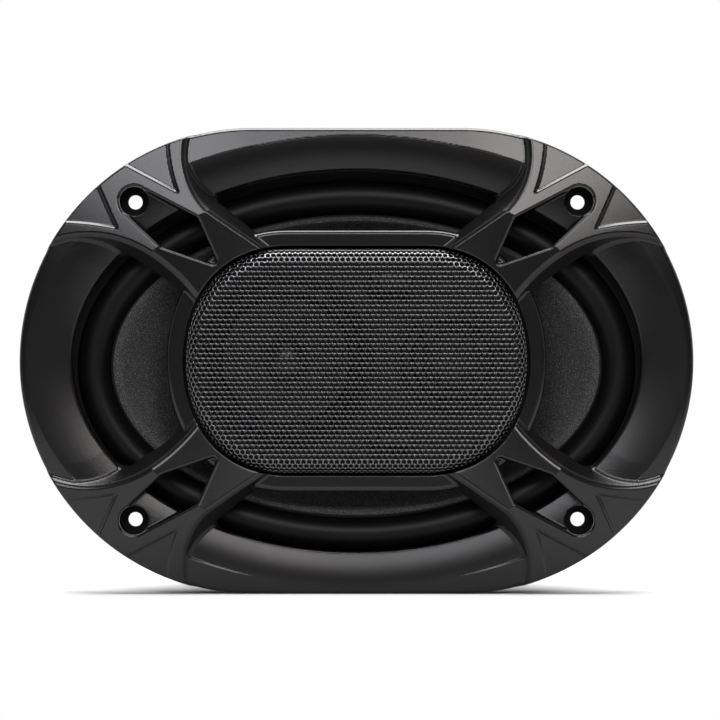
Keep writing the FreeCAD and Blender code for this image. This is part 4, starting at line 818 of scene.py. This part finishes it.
# %% Screws with a cross recess
def screw_points(head_radius, head_height, length, radius, flat):
    """Profile of a screw that points along +Z with its head at the bottom."""
    if flat:
        return [(head_radius, 0.0), (head_radius, 0.15), (radius, head_height), (radius, length - 0.6), (0.3, length)]
    return [(head_radius * 0.8, -head_height), (head_radius, -head_height * 0.6), (head_radius, 0.0),
            (radius, 0.0), (radius, length - 0.6), (0.3, length)]


def add_screws(name, places, seat, head_radius, head_height, length, radius, flat):
    """One object with a screw at each place: a head grid with a cross pushed in, and a shank."""
    steps = np.linspace(0, 1, 13)
    around = 48
    turn = np.linspace(0, 2 * np.pi, around, endpoint=False)
    top = 0.0 if flat else -head_height
    reach = head_radius * (1.0 if flat else 0.8)
    rings = []
    for s in np.maximum(steps, 0.02):
        x, y = reach * s * np.cos(turn), reach * s * np.sin(turn)
        cross = np.minimum(np.abs(x), np.abs(y)) < head_radius * 0.13
        cross &= np.maximum(np.abs(x), np.abs(y)) < head_radius * 0.62
        bulge = 0 if flat else 0.25 * (s ** 2 - 1)
        z = top + bulge + np.where(cross, min(0.7, head_height * 0.7), 0)
        rings.append(np.stack([x, y, z], -1))
    for r_, z_ in screw_points(head_radius, head_height, length, radius, flat)[0 if flat else 1:]:
        rings.append(np.stack([r_ * np.cos(turn), r_ * np.sin(turn), z_ + 0 * turn], -1))
    rings = np.array(rings)
    faces = ring_faces(len(rings), around, False)
    points = np.concatenate([rings.reshape(-1, 3) + (x, y, seat) for x, y in places])
    all_faces = np.concatenate([faces + n * rings.shape[0] * around for n in range(len(places))])
    return add_piece(name, points, all_faces, crease=35)


FRAME_SCREW, TRAY_SCREW = (70.0, 66.0), (63.5, 43.0)
frame_screw_places = [(sx * FRAME_SCREW[0], sy * FRAME_SCREW[1]) for sx in (1, -1) for sy in (1, -1)]
flange_screws = add_screws("flange_screws", frame_screw_places, 0.0, 1.9, 1.1, 8.0, 0.95, True)
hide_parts("frame_screws")
tray_places = [(TRAY_SCREW[0], 0), (-TRAY_SCREW[0], 0), (0, TRAY_SCREW[1]), (0, -TRAY_SCREW[1])]
pod_screws = add_screws("pod_screws", tray_places, POD_REAR - 2.0, 1.85, 1.05, 5.9, 0.95, False)
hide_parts("tray_screws")
print("screws:", len(frame_screw_places) + len(tray_places))

# %% [markdown]
# ## Shader groups
# Several finishes share an effect: the fine grain of a mould, a scatter of pale flecks, the
# rings that a lathe leaves, a weave. Each effect is a group with named inputs and outputs,
# made once. A group gives only a mask or a height, and each material decides what to do with it.

# %% Group helpers
def new_group(name, inputs, outputs):
    """An empty shader group, with (name, kind, default) inputs and (name, kind) outputs."""
    group = bpy.data.node_groups.new(name, "ShaderNodeTree")
    for label, kind, default in inputs:
        socket = group.interface.new_socket(label, in_out="INPUT", socket_type=kind)
        socket.default_value = default
    for label, kind in outputs:
        group.interface.new_socket(label, in_out="OUTPUT", socket_type=kind)
    return group, group.nodes.new("NodeGroupInput"), group.nodes.new("NodeGroupOutput")


def node(tree, kind, **settings):
    """A node with its settings and the values of its sockets, by name or number."""
    made = tree.nodes.new(kind)
    for key, value in settings.items():
        if hasattr(made, key):
            setattr(made, key, value)
        else:
            made.inputs[key].default_value = value
    return made


def math_node(tree, operation, first, second=None, clamp=False):
    """A Math node; each argument is a socket or a number."""
    made = tree.nodes.new("ShaderNodeMath")
    made.operation = operation
    made.use_clamp = clamp
    for socket, value in zip(made.inputs, (first, second)):
        if value is None:
            continue
        if isinstance(value, (int, float)):
            socket.default_value = value
        else:
            tree.links.new(value, socket)
    return made.outputs[0]


print("group helpers ready")

# %% Grain, flecks, turning and weave
FLOAT, VECTOR = "NodeSocketFloat", "NodeSocketVector"

grain_group, g_in, g_out = new_group("Moulded grain", [
    ("Vector", VECTOR, (0, 0, 0)), ("Grain per metre", FLOAT, 2200.0), ("Unevenness", FLOAT, 0.35),
], [("Height", FLOAT), ("Mottle", FLOAT)])
fine = node(grain_group, "ShaderNodeTexNoise", Detail=3.0, Roughness=0.65)
broad = node(grain_group, "ShaderNodeTexNoise", Scale=60.0, Detail=2.0)
grain_group.links.new(g_in.outputs["Vector"], fine.inputs["Vector"])
grain_group.links.new(g_in.outputs["Grain per metre"], fine.inputs["Scale"])
grain_group.links.new(g_in.outputs["Vector"], broad.inputs["Vector"])
wander = math_node(grain_group, "SUBTRACT", broad.outputs[0], 0.5)
wander = math_node(grain_group, "MULTIPLY", wander, g_in.outputs["Unevenness"])
grain_group.links.new(fine.outputs[0], g_out.inputs["Height"])
grain_group.links.new(math_node(grain_group, "ADD", wander, 0.5), g_out.inputs["Mottle"])

fleck_group, f_in, f_out = new_group("Pale flecks", [
    ("Vector", VECTOR, (0, 0, 0)), ("Flecks per metre", FLOAT, 1500.0), ("Rarity", FLOAT, 0.62),
], [("Mask", FLOAT)])
speck = node(fleck_group, "ShaderNodeTexNoise", Detail=1.0, Roughness=0.4)
fleck_group.links.new(f_in.outputs["Vector"], speck.inputs["Vector"])
fleck_group.links.new(f_in.outputs["Flecks per metre"], speck.inputs["Scale"])
above = math_node(fleck_group, "SUBTRACT", speck.outputs[0], f_in.outputs["Rarity"])
fleck_group.links.new(math_node(fleck_group, "MULTIPLY", above, 9.0, True), f_out.inputs["Mask"])

rings_group, r_in, r_out = new_group("Turned rings", [
    ("Vector", VECTOR, (0, 0, 0)), ("Rings per metre", FLOAT, 1800.0),
], [("Height", FLOAT), ("Streak", FLOAT)])
split = node(rings_group, "ShaderNodeSeparateXYZ")
rings_group.links.new(r_in.outputs["Vector"], split.inputs[0])
squares = [math_node(rings_group, "MULTIPLY", split.outputs[n], split.outputs[n]) for n in (0, 2)]
radius_out = math_node(rings_group, "SQRT", math_node(rings_group, "ADD", squares[0], squares[1]))
along = node(rings_group, "ShaderNodeCombineXYZ")
rings_group.links.new(radius_out, along.inputs[0])
rings_group.links.new(split.outputs[1], along.inputs[1])
streak = node(rings_group, "ShaderNodeTexNoise", Detail=4.0, Roughness=0.7)
rings_group.links.new(along.outputs[0], streak.inputs["Vector"])
rings_group.links.new(r_in.outputs["Rings per metre"], streak.inputs["Scale"])
rings_group.links.new(streak.outputs[0], r_out.inputs["Height"])
rings_group.links.new(streak.outputs[0], r_out.inputs["Streak"])

weave_group, w_in, w_out = new_group("Woven cloth", [
    ("Vector", VECTOR, (0, 0, 0)), ("Threads per metre", FLOAT, 1600.0),
], [("Height", FLOAT), ("Shade", FLOAT)])
split = node(weave_group, "ShaderNodeSeparateXYZ")
weave_group.links.new(w_in.outputs["Vector"], split.inputs[0])
waves = []
for n in (0, 2):
    angle = math_node(weave_group, "MULTIPLY", split.outputs[n], w_in.outputs["Threads per metre"])
    angle = math_node(weave_group, "MULTIPLY", angle, math.pi)
    waves.append(math_node(weave_group, "SINE", angle))
crossing = math_node(weave_group, "MULTIPLY", waves[0], waves[1])
crossing = math_node(weave_group, "MULTIPLY", crossing, 0.5)
crossing = math_node(weave_group, "ADD", crossing, 0.5)
weave_group.links.new(crossing, w_out.inputs["Height"])
weave_group.links.new(crossing, w_out.inputs["Shade"])
print("groups:", [g.name for g in bpy.data.node_groups])

# %% [markdown]
# ## Finishes
# Black is not one colour here. The moulded frame is a satin charcoal, grained in the bowl,
# and its pockets are painted darker and matt, as painted shade. The surround is a deeper
# rubber, the cone is coated pulp with pale flecks, the grille is bright black nickel and the
# basket is painted steel. They differ in roughness and grain far more than in colour.

# %% Helpers for a finish
def new_finish(name, colour, roughness, metallic=0.0, specular=0.5):
    """A material with its Principled shader, object coordinates and plain values set."""
    finish = bpy.data.materials.new(name)
    finish.use_nodes = True
    tree = finish.node_tree
    shader = tree.nodes["Principled BSDF"]
    shader.inputs["Base Color"].default_value = (*colour, 1)
    shader.inputs["Roughness"].default_value = roughness
    shader.inputs["Metallic"].default_value = metallic
    shader.inputs["Specular IOR Level"].default_value = specular
    place = tree.nodes.new("ShaderNodeTexCoord").outputs["Object"]
    return finish, tree, shader, place


def use_group(tree, group, place, **values):
    made = tree.nodes.new("ShaderNodeGroup")
    made.node_tree = group
    tree.links.new(place, made.inputs["Vector"])
    for label, value in values.items():
        made.inputs[label.replace("_", " ")].default_value = value
    return made


def vary(tree, mask, low, high, socket):
    """Runs a mask from 0 to 1 between two values or colours into a socket."""
    if isinstance(low, (int, float)):
        spread = node(tree, "ShaderNodeMapRange")
        spread.inputs["To Min"].default_value = low
        spread.inputs["To Max"].default_value = high
        tree.links.new(mask, spread.inputs["Value"])
        tree.links.new(spread.outputs[0], socket)
        return
    mix = tree.nodes.new("ShaderNodeMix")
    mix.data_type = "RGBA"
    mix.inputs["A"].default_value = (*low, 1)
    mix.inputs["B"].default_value = (*high, 1)
    tree.links.new(mask, mix.inputs["Factor"])
    tree.links.new(mix.outputs["Result"], socket)


def emboss(tree, height, shader, strength, distance):
    bump = node(tree, "ShaderNodeBump", Strength=strength, Distance=distance)
    tree.links.new(height, bump.inputs["Height"])
    tree.links.new(bump.outputs[0], shader.inputs["Normal"])


print("finish helpers ready")

# %% Moulded plastics
def moulded_plastic(name, dark, light, roughness, grain, strength, specular=0.5):
    finish, tree, shader, place = new_finish(name, dark, roughness, specular=specular)
    texture = use_group(tree, grain_group, place, Grain_per_metre=grain)
    vary(tree, texture.outputs["Mottle"], dark, light, shader.inputs["Base Color"])
    vary(tree, texture.outputs["Mottle"], roughness - 0.04, roughness + 0.04, shader.inputs["Roughness"])
    emboss(tree, texture.outputs["Height"], shader, strength, 0.00008)
    return finish


frame_plastic = moulded_plastic(
    "satin_moulding", (0.0048, 0.0046, 0.0048), (0.0064, 0.0060, 0.0062), 0.215, 2600.0, 0.12, 0.55,
)
bowl_plastic = moulded_plastic(
    "grained_moulding", (0.0046, 0.0041, 0.0040), (0.0064, 0.0057, 0.0056), 0.25, 2000.0, 0.6, 0.42,
)
# Darker and less glossy than the frame: painted shade for the floors of the screw pockets.
pocket_painted_shade = moulded_plastic(
    "matt_pocket_painted_shade", (0.003, 0.003, 0.003), (0.004, 0.004, 0.004), 0.7, 1900.0, 0.3, 0.15,
)
tray_plastic = moulded_plastic(
    "tray_moulding", (0.005, 0.005, 0.0055), (0.008, 0.008, 0.0085), 0.5, 2200.0, 0.3, 0.3,
)
terminal_plastic = moulded_plastic(
    "terminal_moulding", (0.012, 0.012, 0.013), (0.018, 0.018, 0.019), 0.45, 1800.0, 0.3,
)
print("moulded finishes: 5")

# %% Rubber, pulp and cloth
surround_rubber = moulded_plastic(
    "surround_rubber", (0.0026, 0.0026, 0.0028), (0.004, 0.004, 0.0043), 0.40, 1500.0, 0.08, 0.17,
)
cover_rubber = moulded_plastic(
    "cover_rubber", (0.010, 0.010, 0.011), (0.016, 0.016, 0.017), 0.6, 1200.0, 0.3, 0.4,
)
gasket_foam = moulded_plastic("gasket_foam", (0.008, 0.008, 0.008), (0.02, 0.02, 0.02), 0.9, 1600.0, 0.9, 0.2)


def flecked_skin(name, dark, fleck, roughness, flecks_per_metre=3400.0, rarity=0.55):
    """Pressed pulp or filled film: fine tooth, with pale flecks in it."""
    finish, tree, shader, place = new_finish(name, dark, roughness, specular=0.4)
    flecks = use_group(tree, fleck_group, place, Flecks_per_metre=flecks_per_metre, Rarity=rarity)
    vary(tree, flecks.outputs["Mask"], dark, fleck, shader.inputs["Base Color"])
    tooth = use_group(tree, grain_group, place, Grain_per_metre=1700.0)
    emboss(tree, tooth.outputs["Height"], shader, 0.6, 0.00012)
    return finish


cone_finish = flecked_skin("flecked_cone", (0.012, 0.012, 0.012), (0.10, 0.098, 0.096), 0.5)
mid_finish = flecked_skin("small_cone", (0.012, 0.012, 0.012), (0.03, 0.03, 0.03), 0.7)


def woven(name, low, high, roughness, threads):
    finish, tree, shader, place = new_finish(name, high, roughness, specular=0.3)
    cloth = use_group(tree, weave_group, place, Threads_per_metre=threads)
    vary(tree, cloth.outputs["Shade"], low, high, shader.inputs["Base Color"])
    emboss(tree, cloth.outputs["Height"], shader, 0.7, 0.0002)
    return finish


spider_finish = woven("spider_weave", (0.20, 0.125, 0.035), (0.42, 0.29, 0.095), 0.75, 900.0)
dome_finish = woven("dome_silk", (0.012, 0.012, 0.013), (0.03, 0.03, 0.032), 0.55, 3000.0)
print("soft finishes: 7")

# %% Painted and plated metal
def painted_steel(name, colour, roughness, grain=1400.0):
    finish, tree, shader, place = new_finish(name, colour, roughness)
    peel = use_group(tree, grain_group, place, Grain_per_metre=grain)
    vary(tree, peel.outputs["Mottle"], roughness - 0.06, roughness + 0.08, shader.inputs["Roughness"])
    emboss(tree, peel.outputs["Height"], shader, 0.25, 0.00008)
    return finish


def plated_steel(name, low, high, roughness, rings=1500.0):
    finish, tree, shader, place = new_finish(name, low, roughness, metallic=1.0)
    lathe = use_group(tree, rings_group, place, Rings_per_metre=rings)
    vary(tree, lathe.outputs["Streak"], low, high, shader.inputs["Base Color"])
    vary(tree, lathe.outputs["Streak"], roughness - 0.08, roughness + 0.12, shader.inputs["Roughness"])
    emboss(tree, lathe.outputs["Height"], shader, 0.2, 0.00006)
    return finish


def smooth_metal(name, colour, roughness, grain=900.0):
    """Metal that was plated or lacquered after it was pressed: no tool marks, only faint waves."""
    finish, tree, shader, place = new_finish(name, colour, roughness, metallic=1.0)
    waves = use_group(tree, grain_group, place, Grain_per_metre=grain)
    vary(tree, waves.outputs["Mottle"], roughness - 0.02, roughness + 0.03, shader.inputs["Roughness"])
    emboss(tree, waves.outputs["Height"], shader, 0.05, 0.00004)
    return finish


grille_paint = smooth_metal("grille_black_nickel", (0.14, 0.14, 0.144), 0.09)
basket_paint = painted_steel("basket_paint", (0.014, 0.014, 0.015), 0.36)
screw_black = painted_steel("blackened_screw", (0.03, 0.03, 0.032), 0.4)
zinc_plate = plated_steel("zinc_plate", (0.46, 0.46, 0.45), (0.62, 0.62, 0.60), 0.34)
tab_plate = plated_steel("plated_brass", (0.66, 0.56, 0.34), (0.80, 0.70, 0.46), 0.3, 900.0)
former_foil = plated_steel("former_foil", (0.55, 0.55, 0.56), (0.7, 0.7, 0.71), 0.35)
nickel = plated_steel("nickel_plate", (0.50, 0.49, 0.46), (0.62, 0.61, 0.58), 0.25)
copper = plated_steel("enamelled_copper", (0.52, 0.20, 0.09), (0.72, 0.31, 0.15), 0.32, 3500.0)
ferrite = moulded_plastic("ground_ferrite", (0.035, 0.035, 0.037), (0.055, 0.055, 0.058), 0.55, 1800.0, 0.4)
sleeve = moulded_plastic("capacitor_sleeve", (0.006, 0.006, 0.007), (0.009, 0.009, 0.010), 0.4, 900.0, 0.1)
cap_film = moulded_plastic("cap_film", (0.009, 0.009, 0.010), (0.013, 0.013, 0.014), 0.28, 1500.0, 0.1)
braid = woven("tinned_braid", (0.16, 0.13, 0.09), (0.42, 0.36, 0.26), 0.42, 2400.0)
print("materials so far:", len(bpy.data.materials))

# %% [markdown]
# ## Dressing the pieces
# Each made piece takes one finish, and so does each part that comes from the drawing as it
# is. The table also lists, for each made piece, the record's finish that it stands for.

# %% Give each piece its finish
MADE = {
    front_moulding: (frame_plastic, "frame_plastic"), perforated_grille: (grille_paint, "grille_steel"),
    grille_rim: (grille_paint, "grille_steel"), cone_skin: (cone_finish, "cone_pulp"),
    surround_roll: (surround_rubber, "surround_rubber"), spider_cloth: (spider_finish, "spider_cloth"),
    flexible_leads: (braid, "tab_brass"), cap_dome: (cap_film, "cap_plastic"),
    rubber_cover: (cover_rubber, "boot_rubber"),
    flange_screws: (screw_black, "black_screws"), pod_screws: (screw_black, "black_screws"),
}
for piece, (finish, slot_name) in MADE.items():
    piece.data.materials.append(finish)
for extra in (bowl_plastic, pocket_painted_shade):
    front_moulding.data.materials.append(extra)

SLOT_FINISH = {
    "frame_plastic": frame_plastic, "grille_steel": grille_paint, "tray_plastic": tray_plastic,
    "black_screws": screw_black, "gasket_foam": gasket_foam, "basket_steel": basket_paint,
    "plated_steel": zinc_plate, "ferrite": ferrite, "boot_rubber": cover_rubber,
    "surround_rubber": surround_rubber, "spider_cloth": spider_finish, "cone_pulp": cone_finish,
    "former_film": former_foil, "coil_copper": copper, "cap_plastic": cap_film,
    "terminal_plastic": terminal_plastic, "tab_brass": tab_plate, "mid_pulp": mid_finish,
    "small_rubber": surround_rubber, "tweeter_plastic": tray_plastic, "neodymium": nickel,
    "dome_silk": dome_finish, "capacitor_sleeve": sleeve,
}
slot_of = {entry["node"]: entry["material_slot"] for entry in frame["record"]["subparts"]}
for name, part in frame["nodes"].items():
    for used in part.material_slots:
        used.material = SLOT_FINISH[slot_of[name]]
print("parts dressed:", len(frame["nodes"]))

# %% [markdown]
# ## Floor, backdrop and light
# The speaker stands on its flat lower edge on a pale floor, against white. A softbox right
# above turns upward slopes grey. Two high softboxes in front, the left one a little cooler
# and the right one a little warmer, draw the lip and the arms. The room in front is dark,
# so what faces the camera stays black. The surroundings are white only for the camera and,
# beside and behind the speaker, for reflections. They add next to no other light. The
# floor's paint takes the shadow near the speaker and turns to plain white further off.

# %% Floor and backdrop
FLOOR_LEVEL = -0.0816


def studio_plane(name, corners):
    mesh = bpy.data.meshes.new(name)
    mesh.from_pydata(corners, [], [(0, 1, 2, 3)])
    plane = bpy.data.objects.new(name, mesh)
    scene.collection.objects.link(plane)
    return plane


def white_for_camera(name, inner, outer):
    """Pale paint, darker in reflections, that turns to plain white for the camera further off."""
    finish = bpy.data.materials.new(name)
    finish.use_nodes = True
    tree = finish.node_tree
    tree.nodes.clear()
    out = tree.nodes.new("ShaderNodeOutputMaterial")
    paint = node(tree, "ShaderNodeBsdfDiffuse", Color=(0.86, 0.86, 0.86, 1))
    paint_mirrored = node(tree, "ShaderNodeBsdfDiffuse", Color=(0.45, 0.45, 0.45, 1))
    glow = node(tree, "ShaderNodeEmission", Color=(1, 1, 1, 1), Strength=1.0)
    light_path = tree.nodes.new("ShaderNodeLightPath")
    seen = math_node(tree, "MAXIMUM", light_path.outputs["Is Camera Ray"], light_path.outputs["Is Transmission Ray"])
    paints = tree.nodes.new("ShaderNodeMixShader")
    tree.links.new(light_path.outputs["Is Glossy Ray"], paints.inputs[0])
    tree.links.new(paint.outputs[0], paints.inputs[1])
    tree.links.new(paint_mirrored.outputs[0], paints.inputs[2])
    place = tree.nodes.new("ShaderNodeTexCoord").outputs["Object"]
    far = tree.nodes.new("ShaderNodeVectorMath")
    far.operation = "LENGTH"
    tree.links.new(place, far.inputs[0])
    ramp = node(tree, "ShaderNodeMapRange")
    ramp.inputs["From Min"].default_value = inner
    ramp.inputs["From Max"].default_value = outer
    tree.links.new(far.outputs["Value"], ramp.inputs["Value"])
    mask = math_node(tree, "MULTIPLY", seen, ramp.outputs[0])
    mix = tree.nodes.new("ShaderNodeMixShader")
    tree.links.new(mask, mix.inputs[0])
    tree.links.new(paints.outputs[0], mix.inputs[1])
    tree.links.new(glow.outputs[0], mix.inputs[2])
    tree.links.new(mix.outputs[0], out.inputs["Surface"])
    return finish


floor = studio_plane("floor", [(x, y, FLOOR_LEVEL) for x, y in ((-3, -0.46), (3, -0.46), (3, 3), (-3, 3))])
floor.data.materials.append(white_for_camera("floor_paint", 0.16, 0.30))
print("floor level in mm:", FLOOR_LEVEL * 1000)

# %% Lights and world
def soft_light(name, place, aim, size, power, colour=(1, 1, 1)):
    data = bpy.data.lights.new(name, "AREA")
    data.color = colour
    data.shape = "RECTANGLE"
    data.size, data.size_y = size
    data.energy = power
    lamp = bpy.data.objects.new(name, data)
    lamp.location = place
    lamp.rotation_euler = (Vector(aim) - Vector(place)).to_track_quat("-Z", "Y").to_euler()
    scene.collection.objects.link(lamp)
    return lamp


soft_light("overhead_softbox", (0.0, 0.05, 1.05), (0, 0.05, 0), (0.8, 0.9), 27.0)
soft_light("front_softbox_left", (-0.30, -1.30, 0.64), (0, 0, 0), (0.50, 0.52), 4.9, (0.95, 0.94, 1.0))
soft_light("front_softbox_right", (0.30, -1.30, 0.64), (0, 0, 0), (0.50, 0.52), 6.0, (1.0, 0.96, 0.94))
world = bpy.data.worlds.new("studio")
scene.world = world
world.use_nodes = True
tree = world.node_tree
tree.nodes.clear()
surface = tree.nodes.new("ShaderNodeOutputWorld")
room = node(tree, "ShaderNodeBackground", Color=(0.95, 0.97, 1.0, 1), Strength=0.02)
white = node(tree, "ShaderNodeBackground", Color=(1, 1, 1, 1), Strength=1.0)
path = tree.nodes.new("ShaderNodeLightPath")
choose = tree.nodes.new("ShaderNodeMixShader")
way_out = node(tree, "ShaderNodeSeparateXYZ")
tree.links.new(tree.nodes.new("ShaderNodeTexCoord").outputs["Generated"], way_out.inputs[0])
behind = node(tree, "ShaderNodeMapRange")
behind.inputs["From Min"].default_value = -0.45
behind.inputs["From Max"].default_value = 0.05
tree.links.new(way_out.outputs["Y"], behind.inputs["Value"])
mirrored = math_node(tree, "MULTIPLY", path.outputs["Is Glossy Ray"], behind.outputs[0])
shown = math_node(tree, "MAXIMUM", path.outputs["Is Camera Ray"], path.outputs["Is Transmission Ray"])
tree.links.new(math_node(tree, "MAXIMUM", shown, mirrored), choose.inputs[0])
tree.links.new(room.outputs[0], choose.inputs[1])
tree.links.new(white.outputs[0], choose.inputs[2])
tree.links.new(choose.outputs[0], surface.inputs["Surface"])
scene.view_settings.view_transform = "Standard"
